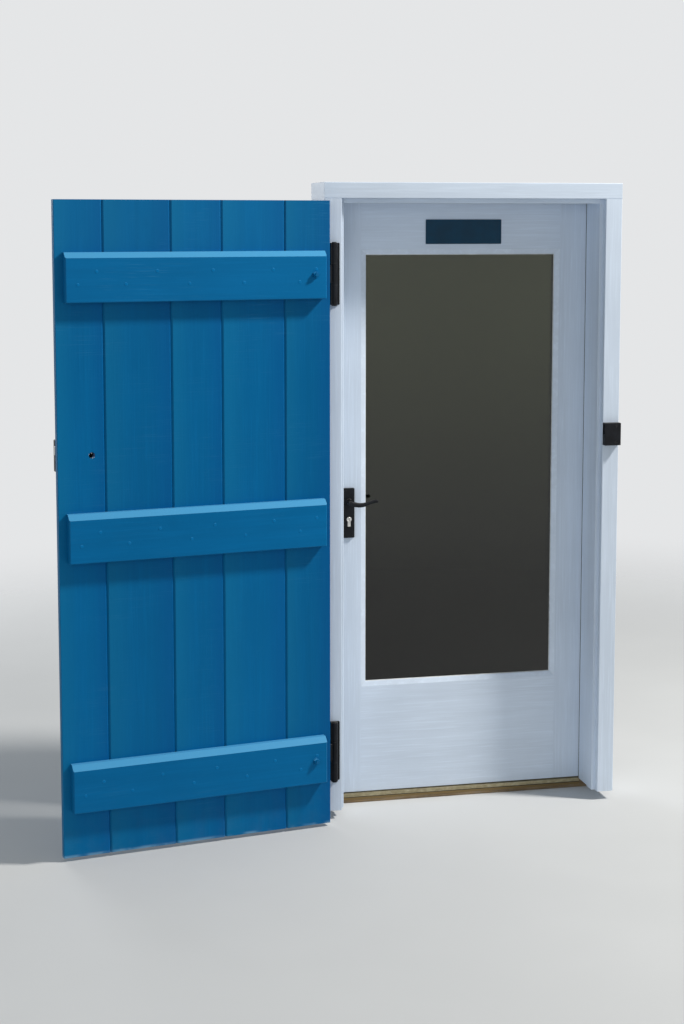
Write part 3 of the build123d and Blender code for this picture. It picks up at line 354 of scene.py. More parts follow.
def edge_wear():
    """A rounded normal, and a patchy mask along the edges that it rounds."""
    group, given, result = new_group(
        "edge_wear", {"Radius": 0.0012, "Amount": 0.5, "Patches": 40.0}, ("Mask", "Normal"))
    rounded = add_node(group, "Bevel", {"Radius": given["Radius"]}, samples=4).outputs["Normal"]
    plain = add_node(group, "NewGeometry").outputs["Normal"]
    together = add_node(group, "VectorMath", {0: rounded, 1: plain}, operation="DOT_PRODUCT")
    bent = ramped(group, together.outputs["Value"], 0.995, 0.86)
    patches = noise(group, rest_place(group), given["Patches"], 5.0, 0.65)
    low = times(group, calc(group, "SUBTRACT", 1.0, given["Amount"]), 0.72)
    limits = {"Value": patches, "From Min": low, "From Max": calc(group, "ADD", low, 0.12)}
    rubbed = add_node(group, "MapRange", limits).outputs["Result"]
    feed(group, result, Mask=times(group, bent, rubbed), Normal=rounded)
    return group


def ground_splash_and_upward():
    """Dirt that rain throws up from the ground, dust on what faces upwards, and a mask of upward faces for
    a painted highlight.
    """
    group, given, result = new_group("ground_splash_and_upward", {"Height": 0.25}, ("Splash", "Dust", "Upward"))
    place = rest_place(group)
    above = calc(group, "DIVIDE", part_along(group, place, "Z"), given["Height"])
    low = calc(group, "SUBTRACT", 1.0, above, clamp=True)
    drops = ramped(group, noise(group, place, 22.0, 7.0, 0.72), 0.42, 0.66)
    tilt = part_along(group, add_node(group, "NewGeometry").outputs["Normal"], "Z")
    patches = ramped(group, noise(group, place, 35.0, 5.0, 0.65), 0.35, 0.7)
    feed(group, result, Splash=times(group, times(group, low, low), drops),
         Dust=times(group, ramped(group, tilt, 0.45, 0.95), patches),
         Upward=ramped(group, tilt, 0.25, 0.6))
    return group


def hammered_face():
    """The uneven face and fine pits of coated ironwork."""
    group, given, result = new_group("hammered_face", {"Scale": 90.0}, ("Relief",))
    place = rest_place(group)
    spread = {"Vector": place, "Scale": given["Scale"]}
    cells = add_node(group, "TexVoronoi", spread, feature="SMOOTH_F1")
    dents = ramped(group, cells.outputs["Distance"], 0.0, 0.75)
    pits = ramped(group, noise(group, place, 900.0, 2.0, 0.6), 0.3, 0.6)
    feed(group, result, Relief=calc(group, "ADD", dents, times(group, pits, 0.12)))
    return group


def drawn_lines():
    """Fine lines that rolling or polishing leaves on metal."""
    group, given, result = new_group(
        "drawn_lines", {"Stretch": (1500.0, 1500.0, 30.0)}, ("Lines", "Smudge"))
    place = rest_place(group)
    lines = drawn_noise(group, place, given["Stretch"], 3.0, 0.6)
    feed(group, result, Lines=lines, Smudge=noise(group, place, 55.0, 4.0, 0.6))
    return group


# Finishes
def new_material(name, **sockets):
    """A material with its surface shader, whose plain values are set on its own sockets."""
    material = bpy.data.materials.new(name)
    material.use_nodes = True
    tree = material.node_tree
    surface = tree.nodes["Principled BSDF"].inputs
    feed(tree, surface, **sockets)
    return material, tree, surface


def shaded(colour, factor):
    """A lighter or darker colour."""
    return [min(1.0, channel * factor) for channel in colour]


def raised(tree, sockets, height, depth, normal=None):
    """Feeds a height, in shares of a depth in metres, to the surface's normal."""
    inputs = {"Height": height, "Distance": depth}
    if normal is not None:
        inputs["Normal"] = normal
    feed(tree, sockets, Normal=add_node(tree, "Bump", inputs).outputs["Normal"])


def painted_timber(name, colour, stretch, knots, chips, soil, turn=0.0, across=None, specular=0.35,
                   bare=BARE_TIMBER, fade=None, upward_highlight=0.0):
    """Brushed paint on timber: streaks, slow tone, raised grain, rubbed edges and a little soil, with
    painted light across cupped boards and a painted highlight on upward faces where asked.
    """
    paint = bpy.context.scene.door_paint
    material, tree, sockets = new_material(name, Specular_IOR_Level=specular)
    marks = effect(tree, brush_marks, Turn=turn, Stretch=stretch)
    grain = effect(tree, timber_grain, Turn=turn, Stretch=stretch, Knots=knots)
    wear = effect(tree, edge_wear, Radius=paint.arris, Amount=chips, Patches=26.0)
    dirt_and_upward = effect(tree, ground_splash_and_upward, Height=0.25)
    base = toned(tree, marks["Tone"], colour, 0.95, 1.04, low=0.3)
    base = mixed(tree, ramped(tree, marks["Laps"], 0.35, 0.65, 0.0, 0.4), base, shaded(colour, 0.86))
    base = mixed(tree, ramped(tree, marks["Streaks"], 0.46, 0.74, 0.0, 0.45), base, shaded(colour, 1.18))
    base = layered(tree, base, (grain["Knot"], 0.20, shaded(colour, 0.76)))
    ridges = times(tree, grain["Relief"], paint.grain_depth / paint.streak_depth)
    height = calc(tree, "ADD", marks["Streaks"], ridges)
    height = calc(tree, "ADD", height, times(tree, marks["Laps"], 1.6))
    if across is not None:
        offset = board_offset(tree, turn, across)
        # painted light and shade across the cupped board
        base = lit_across(tree, base, offset, colour)
        hollow = times(tree, times(tree, offset, offset), HOLLOW / paint.streak_depth)
        height = calc(tree, "ADD", height, hollow)
    if fade is not None:
        base = mixed(tree, faded_head(tree, fade), base, FADED_BLUE)
        base = mixed(tree, worn_foot(tree), base, WORN_BLUE)
    # painted highlight: a lighter blue on upward faces, where light falls from above
    if upward_highlight:
        base = layered(tree, base, (dirt_and_upward["Upward"], upward_highlight, UPWARD_HIGHLIGHT_BLUE))
    base = layered(tree, base, (dirt_and_upward["Dust"], soil * 0.6, DRY_DUST), (dirt_and_upward["Splash"], soil, DRY_MUD),
                   (wear["Mask"], 0.5, bare))
    rough = ramped(tree, marks["Streaks"], 0.3, 0.7, 0.36, 0.50)
    rough = calc(tree, "ADD", rough, times(tree, dirt_and_upward["Splash"], soil), clamp=True)
    feed(tree, sockets, Base_Color=base, Roughness=rough)
    raised(tree, sockets, height, paint.streak_depth, wear["Normal"])
    return material


def board_offset(tree, turn, across):
    """Where a point lies across its board, from -1 at the hinge side to 1 at the lock side."""
    middle, half = across
    place = part_along(tree, turned_place(tree, turn, LEAF_HINGE["pos_m"]), "X")
    return calc(tree, "DIVIDE", calc(tree, "SUBTRACT", place, middle), half)


def lit_across(tree, base, offset, colour):
    """Painted light and shade across a cupped board: lighter and greener towards its lock side, darker
    towards its hinge side.
    """
    red, green, blue = colour
    lock_side = ramped(tree, offset, 0.1, 1.0, 0.0, 0.75)
    hinge_side = ramped(tree, offset, -0.1, -1.0, 0.0, 0.75)
    base = mixed(tree, lock_side, base, (red + 0.003, green * 1.16, blue))
    return mixed(tree, hinge_side, base, (red, green * 0.78, blue * 0.92))


def worn_foot(tree):
    """Patches of pale, thin paint along the foot of the leaf."""
    place = rest_place(tree)
    low = ramped(tree, part_along(tree, place, "Z"), LEAF_FOOT + 0.002, LEAF_FOOT + 0.011, 0.55, 0.0)
    patches = ramped(tree, noise(tree, place, 14.0, 3.0, 0.5), 0.38, 0.62)
    return times(tree, low, patches)


def faded_head(tree, fade):
    """Paler paint and level scuffs towards the head of the leaf, where the weather reaches it."""
    place = rest_place(tree)
    rise = ramped(tree, part_along(tree, place, "Z"), *fade)
    lines = ramped(tree, drawn_noise(tree, place, (7.0, 7.0, 260.0), 5.0, 0.7), 0.54, 0.64)
    patches = ramped(tree, noise(tree, place, 5.0, 3.0, 0.6), 0.45, 0.65)
    strength = calc(tree, "ADD", times(tree, rise, 0.55), 0.18)
    scuffs = times(tree, times(tree, lines, patches), strength)
    return calc(tree, "ADD", times(tree, rise, 0.12), scuffs)


def coated_iron(name, scale=90.0, wear_amount=0.36, painted_past=None):
    """Black coat over iron: uneven face, dust, rubbed edges, and the leaf's paint past a depth."""
    metal = bpy.context.scene.door_metal
    material, tree, sockets = new_material(name, Specular_IOR_Level=0.17)
    face = effect(tree, hammered_face, Scale=scale)
    wear = effect(tree, edge_wear, Radius=0.0011, Amount=wear_amount, Patches=160.0)
    dirt_and_upward = effect(tree, ground_splash_and_upward, Height=0.2)
    patches = noise(tree, rest_place(tree), 30.0, 4.0, 0.6)
    base = toned(tree, patches, metal.iron, 0.8, 1.7)
    base = layered(tree, base, (dirt_and_upward["Dust"], 0.35, IRON_DUST), (wear["Mask"], 0.8, metal.worn_iron))
    bare_share = times(tree, wear["Mask"], 0.75)
    if painted_past is not None:
        depth = part_along(tree, turned_place(tree, LEAF_TURN, LEAF_HINGE["pos_m"]), "Y")
        painted = calc(tree, "GREATER_THAN", depth, painted_past)
        base = mixed(tree, painted, base, shaded(bpy.context.scene.door_paint.blue, 0.9))
        bare_share = times(tree, bare_share, calc(tree, "SUBTRACT", 1.0, painted))
    rough = ramped(tree, patches, 0.3, 0.75, 0.36, 0.54)
    feed(tree, sockets, Base_Color=base, Metallic=bare_share, Roughness=rough)
    raised(tree, sockets, face["Relief"], metal.hammer_depth, wear["Normal"])
    return material


def polished_metal(name, colour, stretch, roughness):
    """Drawn or rolled metal: fine lines, smudges, and edges that are rubbed bright."""
    material, tree, sockets = new_material(name, Metallic=1.0)
    lines = effect(tree, drawn_lines, Stretch=stretch)
    wear = effect(tree, edge_wear, Radius=0.0005, Amount=0.3, Patches=120.0)
    base = toned(tree, lines["Smudge"], colour, 0.82, 1.06)
    base = layered(tree, base, (wear["Mask"], 0.5, shaded(colour, 1.5)))
    feed(tree, sockets, Base_Color=base, Roughness=ramped(tree, lines["Smudge"], 0.3, 0.75, *roughness))
    raised(tree, sockets, lines["Lines"], 0.00002, wear["Normal"])
    return material


def oiled_hardwood(name):
    """The sill: brown straight grain with pores, weathered and splashed."""
    material, tree, sockets = new_material(name, Specular_IOR_Level=0.4)
    place = rest_place(tree)
    grain = drawn_noise(tree, place, (6.0, 240.0, 240.0), 6.0, 0.65, 0.5)
    bands = drawn_noise(tree, place, (1.2, 45.0, 45.0), 3.0, 0.5, 0.8)
    wear = effect(tree, edge_wear, Radius=0.0015, Amount=0.3, Patches=30.0)
    dirt_and_upward = effect(tree, ground_splash_and_upward, Height=0.06)
    base = mixed(tree, ramped(tree, grain, 0.3, 0.7), SILL["dark grain"], SILL["pale grain"])
    base = mixed(tree, ramped(tree, bands, 0.35, 0.7, 0.0, 0.6), base, SILL["band"])
    base = layered(tree, base, (dirt_and_upward["Splash"], 0.5, SILL["mud"]), (wear["Mask"], 0.5, SILL["edge"]))
    feed(tree, sockets, Base_Color=base, Roughness=ramped(tree, grain, 0.3, 0.7, 0.62, 0.42))
    raised(tree, sockets, grain, 0.0004, wear["Normal"])
    return material


def bronze_bar(name):
    """The threshold bar: bronze anodised, brushed lengthwise, scuffed by feet, darker below its groove,
    with a painted shadow along the groove.
    """
    material, tree, sockets = new_material(name)
    lines = effect(tree, drawn_lines, Stretch=(18.0, 1400.0, 1400.0))
    wear = effect(tree, edge_wear, Radius=0.0006, Amount=0.55, Patches=60.0)
    place = rest_place(tree)
    scuffs = ramped(tree, drawn_noise(tree, place, (60.0, 420.0, 160.0), 4.0, 0.6), 0.56, 0.68)
    base = mixed(tree, ramped(tree, lines["Smudge"], 0.35, 0.7), BRONZE["dark"], BRONZE["pale"])
    base = layered(tree, base, (scuffs, 0.4, BRONZE["scuff"]), (wear["Mask"], 0.6, BRONZE["edge"]))
    height = part_along(tree, place, "Z")
    foot = ramped(tree, height, GROOVE_HEIGHT + 0.0004, GROOVE_HEIGHT - 0.0004)
    base = mixed(tree, foot, base, BRONZE["foot"])
    # painted shadow along the groove
    from_groove = calc(tree, "ABSOLUTE", calc(tree, "SUBTRACT", height, GROOVE_HEIGHT))
    groove = ramped(tree, from_groove, 0.0008, 0.0016, 1.0, 0.0)
    base = mixed(tree, groove, base, BRONZE["groove"])
    feed(tree, sockets, Base_Color=base, Metallic=ramped(tree, lines["Lines"], 0.3, 0.7, 0.4, 0.6),
         Roughness=ramped(tree, lines["Smudge"], 0.3, 0.75, 0.38, 0.52))
    relief = calc(tree, "SUBTRACT", times(tree, lines["Lines"], 0.04), groove)
    raised(tree, sockets, relief, 0.001, wear["Normal"])
    return material


def soft_strip(name, colour, pore_scale, depth):
    """Rubber, foam or sealant: a matt skin with small pores and a little dust."""
    material, tree, sockets = new_material(name, Specular_IOR_Level=0.35)
    place = rest_place(tree)
    pores = noise(tree, place, pore_scale, 3.0, 0.7)
    dust = ramped(tree, noise(tree, place, 40.0, 4.0, 0.6), 0.4, 0.75, 0.0, 0.4)
    base = mixed(tree, dust, colour, shaded(colour, 2.2))
    feed(tree, sockets, Base_Color=base, Roughness=ramped(tree, pores, 0.3, 0.7, 0.62, 0.85))
    raised(tree, sockets, pores, depth)
    return material


def glass_with_painted_room(name):
    """Clear glass with the dim room behind it painted in: a dark colour as painted shade, paler towards
    the top as painted light, and soft bands as painted reflections.
    """
    tint = bpy.context.scene.door_glazing.tint
    low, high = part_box("outer_pane")
    material, tree, sockets = new_material(name, Roughness=0.0, IOR=1.5, Transmission_Weight=1.0,
                                           Specular_IOR_Level=0.05)
    place = rest_place(tree)
    painted_reflection_bands = drawn_noise(tree, place, (1.6, 1.0, 0.7), 1.0, 0.4)
    rise = ramped(tree, part_along(tree, place, "Z"), low.z, high.z, 0.0, 0.75)
    # painted light and reflections: paler towards the top and in soft bands
    light = calc(tree, "ADD", rise, times(tree, painted_reflection_bands, 0.25))
    feed(tree, sockets, Base_Color=mixed(tree, light, shaded(tint, 0.12), shaded(tint, 1.35)))
    return material


def enamelled_plate(name):
    """The blank nameplate: glossy enamel, slightly uneven, with worn edges."""
    enamel = bpy.context.scene.door_metal.plate
    material, tree, sockets = new_material(name, Coat_Weight=0.04, Coat_Roughness=0.12,
                                           Specular_IOR_Level=0.18)
    wear = effect(tree, edge_wear, Radius=0.0007, Amount=0.4, Patches=90.0)
    place = rest_place(tree)
    cloud = noise(tree, place, 22.0, 4.0, 0.6)
    base = toned(tree, cloud, enamel, 0.93, 1.1)
    base = layered(tree, base, (wear["Mask"], 0.6, shaded(enamel, 4.0)))
    feed(tree, sockets, Base_Color=base, Roughness=ramped(tree, cloud, 0.3, 0.7, 0.28, 0.4))
    raised(tree, sockets, noise(tree, place, 160.0, 3.0, 0.6), 0.00006, wear["Normal"])
    return material


def finish_once(build, name, *values, **options):
    """The finish of that name, built by the first piece that needs it."""
    return bpy.data.materials.get(name) or build(name, *values, **options)


def give(material, *nodes):
    """Gives carried-over pieces their finish."""
    for node in nodes:
        piece = frame["nodes"][node]
        if not piece.material_slots:
            piece.data.materials.append(material)
        for slot in piece.material_slots:
            slot.material = material


def fine_ironwork():
    """The coat of levers and small screws, with a finer face."""
    return finish_once(coated_iron, "fine_ironwork", scale=260.0, wear_amount=0.34)


def plain_metal(name):
    return finish_once(polished_metal, name, *METALS[name])


def leaf_paint(name, tone, stretch, across=None, fade=None, chips=0.3):
    """The blue of one piece of the leaf, in its own tone, with a painted highlight on its upward faces."""
    colour = [channel * tone for channel in bpy.context.scene.door_paint.blue]
    return painted_timber(name, colour, stretch, knots=1.0, chips=chips, soil=0.03, turn=LEAF_TURN,
                          across=across, specular=0.07, bare=THIN_BLUE, fade=fade, upward_highlight=0.75)


# Shapes
def box_of(points):
    """Lowest and highest corner of the box round some points."""
    low = Vector([min(point[axis] for point in points) for axis in range(3)])
    high = Vector([max(point[axis] for point in points) for axis in range(3)])
    return low, high


def shut_box(node):
    """The box of a leaf piece, as the leaf hangs when it is shut."""
    return box_of([TO_SHUT @ vertex.co for vertex in frame["nodes"][node].data.vertices])


def solids_of(node, transform=None):
    """The box of each separate solid in a node, sorted from the foot up."""
    mesh = bmesh.new()
    mesh.from_mesh(frame["nodes"][node].data)
    bmesh.ops.remove_doubles(mesh, verts=mesh.verts, dist=SAME_POINT)
    if transform is not None:
        mesh.transform(transform)
    mesh.verts.ensure_lookup_table()
    unseen = set(mesh.verts)
    boxes = []
    while unseen:
        front = [unseen.pop()]
        group = list(front)
        while front:
            vertex = front.pop()
            for edge in vertex.link_edges:
                other = edge.other_vert(vertex)
                if other in unseen:
                    unseen.remove(other)
                    front.append(other)
                    group.append(other)
        boxes.append(box_of([vertex.co for vertex in group]))
    mesh.free()
    return sorted(boxes, key=lambda box: (round(box[0].z, 4), round(box[0].x, 4)))


def facing(point, outward, roll=0.0):
    """A frame at a point whose Z axis looks outward, turned about that axis."""
    turn = Vector(outward).to_track_quat("Z", "Y").to_matrix().to_4x4()
    return Matrix.Translation(Vector(point)) @ turn @ Matrix.Rotation(roll, 4, "Z")


def ring_of(mesh, transform, radius, height, segments):
    """A ring of points round Z, anticlockwise."""
    ring = []
    for number in range(segments):
        angle = 2 * pi * number / segments
        ring.append(mesh.verts.new(transform @ Vector((radius * cos(angle), radius * sin(angle), height))))
    return ring


def band_between(mesh, first, second):
    """Faces between two closed rows of as many points."""
    count = len(first)
    for number in range(count):
        after = (number + 1) % count
        mesh.faces.new((first[number], first[after], second[after], second[number]))


def turned_shape(mesh, transform, profile, segments, foot=True, top=True):
    """A shape turned about Z from (radius, height) points, closed at its foot and top where wanted."""
    rings = [ring_of(mesh, transform, radius, height, segments) for radius, height in profile]
    for first, second in zip(rings, rings[1:]):
        band_between(mesh, first, second)
    if foot:
        mesh.faces.new(rings[0][::-1])
    if top:
        mesh.faces.new(rings[-1])
    return rings


def cross_outline(reach, half_width):
    """The twelve corners of the cross that a driver fits, anticlockwise."""
    quarter = [(reach, -half_width), (reach, half_width), (half_width, half_width)]
    corners = []
    for turn in range(4):
        angle = turn * pi / 2
        for x, y in quarter:
            corners.append((x * cos(angle) - y * sin(angle), x * sin(angle) + y * cos(angle)))
    return corners


def wood_screw(mesh, transform, radius, crown, segments, length=0.0):
    """A countersunk head with a low crown and a driver's recess, on a shank where a length is given."""
    shank = radius * 0.5
    neck = -radius * 0.6
    profile = [(shank, neck), (radius, -radius * 0.04), (radius * 0.97, crown * 0.3),
               (radius * 0.78, crown * 0.85), (radius * 0.7, crown)]
    if length:
        profile.insert(0, (shank, -length))
    rings = turned_shape(mesh, transform, profile, segments, top=False)
    outline = cross_outline(radius * 0.6, radius * 0.14)
    mouth = [mesh.verts.new(transform @ Vector((x, y, crown))) for x, y in outline]
    floor = [mesh.verts.new(transform @ Vector((x * 0.72, y * 0.72, -radius * 0.28))) for x, y in outline]
    edges = []
    for ring in (mouth, rings[-1]):
        for pair in zip(ring, ring[1:] + ring[:1]):
            edges.append(mesh.edges.get(pair) or mesh.edges.new(pair))
    bmesh.ops.triangle_fill(mesh, edges=edges, use_beauty=True)
    band_between(mesh, mouth, floor)
    mesh.faces.new(floor)


def painted_head(mesh, transform, radius, height, segments):
    """A screw head under paint: a low dome with a soft dimple where the recess was filled."""
    shares = ((1.12, -0.4), (1.1, 0.12), (0.96, 0.72), (0.8, 1.0), (0.5, 1.0), (0.34, 0.86), (0.16, 0.6))
    turned_shape(mesh, transform, [(radius * out, height * up) for out, up in shares], segments)


def rose_nail(mesh, transform, radius, segments, seed):
    """A forged nail head: a low pyramid with uneven facets."""
    shares = ((1.0, -0.1), (0.98, 0.16), (0.55, 0.4), (0.12, 0.5))
    rings = turned_shape(mesh, transform, [(radius * out, radius * up) for out, up in shares], segments)
    centre = transform @ Vector((0, 0, 0))
    for ring in rings[1:3]:
        for number, vertex in enumerate(ring):
            uneven = 1 + 0.05 * sin(seed * 1.7 + number * 4 * 2 * pi / segments)
            vertex.co = centre + (vertex.co - centre) * uneven


def new_object(name, data):
    made = bpy.data.objects.new(name, data)
    bpy.context.scene.collection.objects.link(made)
    return made


def mesh_object(name, mesh, material):
    """Turns a finished bmesh into an object of the scene."""
    data = bpy.data.meshes.new(name)
    mesh.to_mesh(data)
    mesh.free()
    data.materials.append(material)
    return new_object(name, data)


def make_piece(name, mesh, material, body):
    """Turns a finished bmesh into a piece that rides on a body."""
    bmesh.ops.recalc_face_normals(mesh, faces=mesh.faces)
    piece = mesh_object(name, mesh, material)
    piece.data.shade_smooth()
    piece.data.set_sharp_from_angle(angle=SMOOTH_BELOW)
    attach(piece, body)
    return piece


def mitred_ring(mesh, half, low, high, section):
    """A ring round a rectangle in XZ: (inset, y) points of its section, mitred at the corners."""
    loops = []
    for inset, y in section:
        corners = ((-half + inset, low + inset), (half - inset, low + inset),
                   (half - inset, high - inset), (-half + inset, high - inset))
        loops.append([mesh.verts.new((x, y, z)) for x, z in corners])
    for first, second in zip(loops, loops[1:] + loops[:1]):
        band_between(mesh, first, second)


# Finishes of the carried-over pieces
class DOOR_OT_white_timber(Operator):
    """Paints the frame, the glazed door's timber and its beads white"""
    bl_idname = "door_set.white_timber"
    bl_label = "White timber"

    def execute(self, context):
        white = context.scene.door_paint.white
        for name, stretch, knots, chips, soil, nodes in WHITE_TIMBER:
            give(painted_timber(name, white, stretch, knots, chips, soil), *nodes)
        return {"FINISHED"}


class DOOR_OT_blue_leaf(Operator):
    """Paints each board and ledge of the outer leaf blue, in its own tone"""
    bl_idname = "door_set.blue_leaf"
    bl_label = "Blue leaf"

    def execute(self, context):
        for board, tone in zip(BOARDS, BOARD_TONES):
            low, high = shut_box(board)
            across = ((low.x + high.x) / 2, (high.x - low.x) / 2)
            fade = (BOARDS_FADE_FROM, high.z)
            give(leaf_paint(f"blue_{board}", tone, UPRIGHT, across, fade), board)
        for ledge, tone in zip(LEDGES, LEDGE_TONES):
            give(leaf_paint(f"blue_{ledge}", tone, LEVEL, fade=LEDGE_FADE, chips=0.62), ledge)
        give(leaf_paint("blue_fixings", 1.0, ALL_WAYS), "coach_nuts")
        return {"FINISHED"}


class DOOR_OT_ironwork(Operator):
    """Gives hinges, rim lock, keep and lever furniture their black coat"""
    bl_idname = "door_set.ironwork"
    bl_label = "Ironwork"

    def execute(self, context):
        give(coated_iron("ironwork"), "hinge_plate_upper", "hinge_plate_lower", "hinge_pin_upper",
             "hinge_pin_lower", "hinge_band_upper", "hinge_band_lower", "rim_lock_case", "box_keep")
        ledge_face = shut_box("ledge_top")[1].y
        give(coated_iron("bolt_iron", painted_past=ledge_face - 0.001), "coach_bolts")
        give(fine_ironwork(), "lever_plate_outer", "lever_plate_inner", "lever_outer", "lever_inner")
        return {"FINISHED"}


class DOOR_OT_metals(Operator):
    """Finishes the lock, butt hinges, cylinder, threshold bar, sill and nameplate"""
    bl_idname = "door_set.metals"
    bl_label = "Metals and sill"

    def execute(self, context):
        give(plain_metal("satin_steel"), "lock_case", "lock_forend", "strike_plate", "butt_hinge_pins",
             "butt_hinge_frame_halves", "butt_hinge_door_halves", "spindle", "follower", "cylinder_cam")
        give(plain_metal("bright_bolts"), "latch_bolt", "dead_bolt", "rim_bolt")
        give(plain_metal("satin_nickel"), "cylinder_body", "key_plug", "thumb_turn")
        give(bronze_bar("bronze_bar"), "threshold_bar")
        give(oiled_hardwood("oiled_sill"), "sill")
        give(enamelled_plate("nameplate_enamel"), "nameplate")
        return {"FINISHED"}


class DOOR_OT_glazing(Operator):
    """Finishes panes, spacer, tape, blocks and seal, and runs sealant round the outer pane"""
    bl_idname = "door_set.glazing"
    bl_label = "Glazing"

    def execute(self, context):
        glazing = context.scene.door_glazing
        give(glass_with_painted_room("glass_with_painted_room"), "outer_pane", "inner_pane")
        give(plain_metal("spacer_bar"), "glazing_spacer")
        give(soft_strip("foam_tape", (0.03, 0.03, 0.03), 1500.0, 0.0002), "glazing_tape")
        rubber = soft_strip("seal_rubber", (0.035, 0.035, 0.036), 700.0, 0.0001)
        give(rubber, "door_seal", "setting_blocks")
        low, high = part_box("glazing_beads")
        width = glazing.sealant_width
        depth = glazing.bead_depth
        tuck = 0.0002
        section = [(-tuck, depth), (-tuck, depth - width),
                   (width * 0.30, depth - width * 0.42), (width, depth)]
        mesh = bmesh.new()
        inset = glazing.bead_width
        mitred_ring(mesh, high.x - inset, low.z + inset, high.z - inset, section)
        sealant = soft_strip("white_sealant", (0.55, 0.57, 0.58), 260.0, 0.0001)
        make_piece("glazing_sealant", mesh, sealant, "glazed_door")
        return {"FINISHED"}


# Added fixings
class DOOR_OT_leaf_fixings(Operator):
    """Puts painted screw heads on the ledges and forged nails on the outer face of the boards"""
    bl_idname = "door_set.leaf_fixings"
    bl_label = "Leaf fixings"

    def execute(self, context):
        sizes = context.scene.door_fixings
        # the heads are a paler blue: painted highlight where they catch the light
        paint = leaf_paint("blue_heads_painted_highlight", 1.22, ALL_WAYS)
        spans = [shut_box(board) for board in BOARDS]
        for ledge in LEDGES:
            low, high = shut_box(ledge)
            heads = bmesh.new()
            nails = bmesh.new()
            for number, (board_low, board_high) in enumerate(spans):
                left = max(board_low.x, low.x)
                right = min(board_high.x, high.x)
                for share, head_rise, nail_rise in LEDGE_SCREWS:
                    x = left + share * (right - left)
                    z = low.z + head_rise * (high.z - low.z)
                    place = TO_OPEN @ facing((x, high.y, z), (0, 1, 0))
                    painted_head(heads, place, sizes.plug_radius, sizes.plug_height, sizes.segments)
                    z = low.z + nail_rise * (high.z - low.z)
                    place = TO_OPEN @ facing((x, board_low.y, z), (0, -1, 0), roll=number)
                    rose_nail(nails, place, sizes.nail_radius, sizes.segments, number + share)
            make_piece(f"{ledge}_screw_heads", heads, paint, "boarded_leaf")
            make_piece(f"{ledge}_nails", nails, paint, "boarded_leaf")
        return {"FINISHED"}


class DOOR_OT_iron_screws(Operator):
    """Makes the screws of hinges, keep and rim lock anew, with a driver's recess"""
    bl_idname = "door_set.iron_screws"
    bl_label = "Ironwork screws"

    def execute(self, context):
        sizes = context.scene.door_fixings
        groups = (("frame_screws", "frame", None, Matrix.Identity(4)),
                  ("leaf_screws", "boarded_leaf", TO_SHUT, TO_OPEN))
        for node, body, to_upright, back in groups:
            mesh = bmesh.new()
            for number, (low, high) in enumerate(solids_of(node, to_upright)):
                centre = (low + high) / 2
                radius = (high.x - low.x) / 2
                place = back @ facing((centre.x, low.y, centre.z), (0, -1, 0), roll=number * 0.7)
                wood_screw(mesh, place, radius, radius * 0.06, sizes.segments, length=high.y - low.y)
            piece = make_piece(f"{node}_with_recess", mesh, fine_ironwork(), body)
            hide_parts(node)
        return {"FINISHED"}


class DOOR_OT_furniture_screws(Operator):
    """Adds the four screws of each lever plate and a rim round the key plug"""
    bl_idname = "door_set.furniture_screws"
    bl_label = "Lever plate screws"

    def execute(self, context):
        sizes = context.scene.door_fixings
        radius = sizes.furniture_screw
        edge = radius * 2.6
        door_low, door_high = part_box("lock_stile")
        for node, outward in (("lever_plate_outer", -1), ("lever_plate_inner", 1)):
            low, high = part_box(node)
            behind = door_low.y if outward < 0 else door_high.y
            face = behind + outward * LEVER_PLATE_THICKNESS
            mesh = bmesh.new()
            number = 0
            for x in (low.x + edge, high.x - edge):
                for z in (low.z + edge, high.z - edge):
                    place = facing((x, face, z), (0, outward, 0), roll=0.4 + number)
                    wood_screw(mesh, place, radius, radius * 0.22, sizes.segments)
                    number += 1
            make_piece(f"{node}_screws", mesh, fine_ironwork(), "glazed_door")
        low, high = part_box("key_plug")
        mesh = bmesh.new()
        place = facing(((low.x + high.x) / 2, low.y, (low.z + high.z) / 2), (0, -1, 0))
        outer = (high.x - low.x) / 2 + RIM_PROUD
        profile = [(outer - inset, height) for inset, height in RIM_SECTION]
        rings = turned_shape(mesh, place, profile, segments=48, foot=False, top=False)
        band_between(mesh, rings[-1], rings[0])
        make_piece("key_plug_rim", mesh, plain_metal("satin_nickel"), "glazed_door")
        return {"FINISHED"}


class DOOR_OT_hinge_screws(Operator):
    """Adds the screws of the butt hinges, the strike plate and the lock's forend"""
    bl_idname = "door_set.hinge_screws"
    bl_label = "Hinge and lock screws"

    def execute(self, context):
        sizes = context.scene.door_fixings
        radius = sizes.hinge_screw
        crown = radius * 0.12
        door_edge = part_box("hinge_stile")[1].x
        jamb_face = -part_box("strike_plate")[1].x
        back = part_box("hinge_stile")[1].y
        halves = (("butt_hinge_frame_halves", "frame", jamb_face, -1),
                  ("butt_hinge_door_halves", "glazed_door", door_edge, 1))
        for node, body, face, side in halves:
            mesh = bmesh.new()
            for low, high in solids_of(node):
                middle = (low.z + high.z) / 2
                for number, (from_back, rise) in enumerate(HINGE_SCREWS):
                    point = (face, back - from_back, middle + rise * (high.z - low.z))
                    place = facing(point, (side, 0, 0), roll=number * 0.9)
                    wood_screw(mesh, place, radius, crown, sizes.segments)
            make_piece(f"{node}_screws", mesh, plain_metal("bright_bolts"), body)
        inset = radius * 2.4
        for node, body, side in (("strike_plate", "frame", 1), ("lock_forend", "glazed_door", -1)):
            low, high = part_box(node)
            mesh = bmesh.new()
            face = high.x if side > 0 else low.x
            for number, z in enumerate((low.z + inset, high.z - inset)):
                point = (face, (low.y + high.y) / 2, z)
                place = facing(point, (side, 0, 0), roll=0.5 + number)
                wood_screw(mesh, place, radius, crown, sizes.segments)
            make_piece(f"{node}_screws", mesh, plain_metal("bright_bolts"), body)
        return {"FINISHED"}


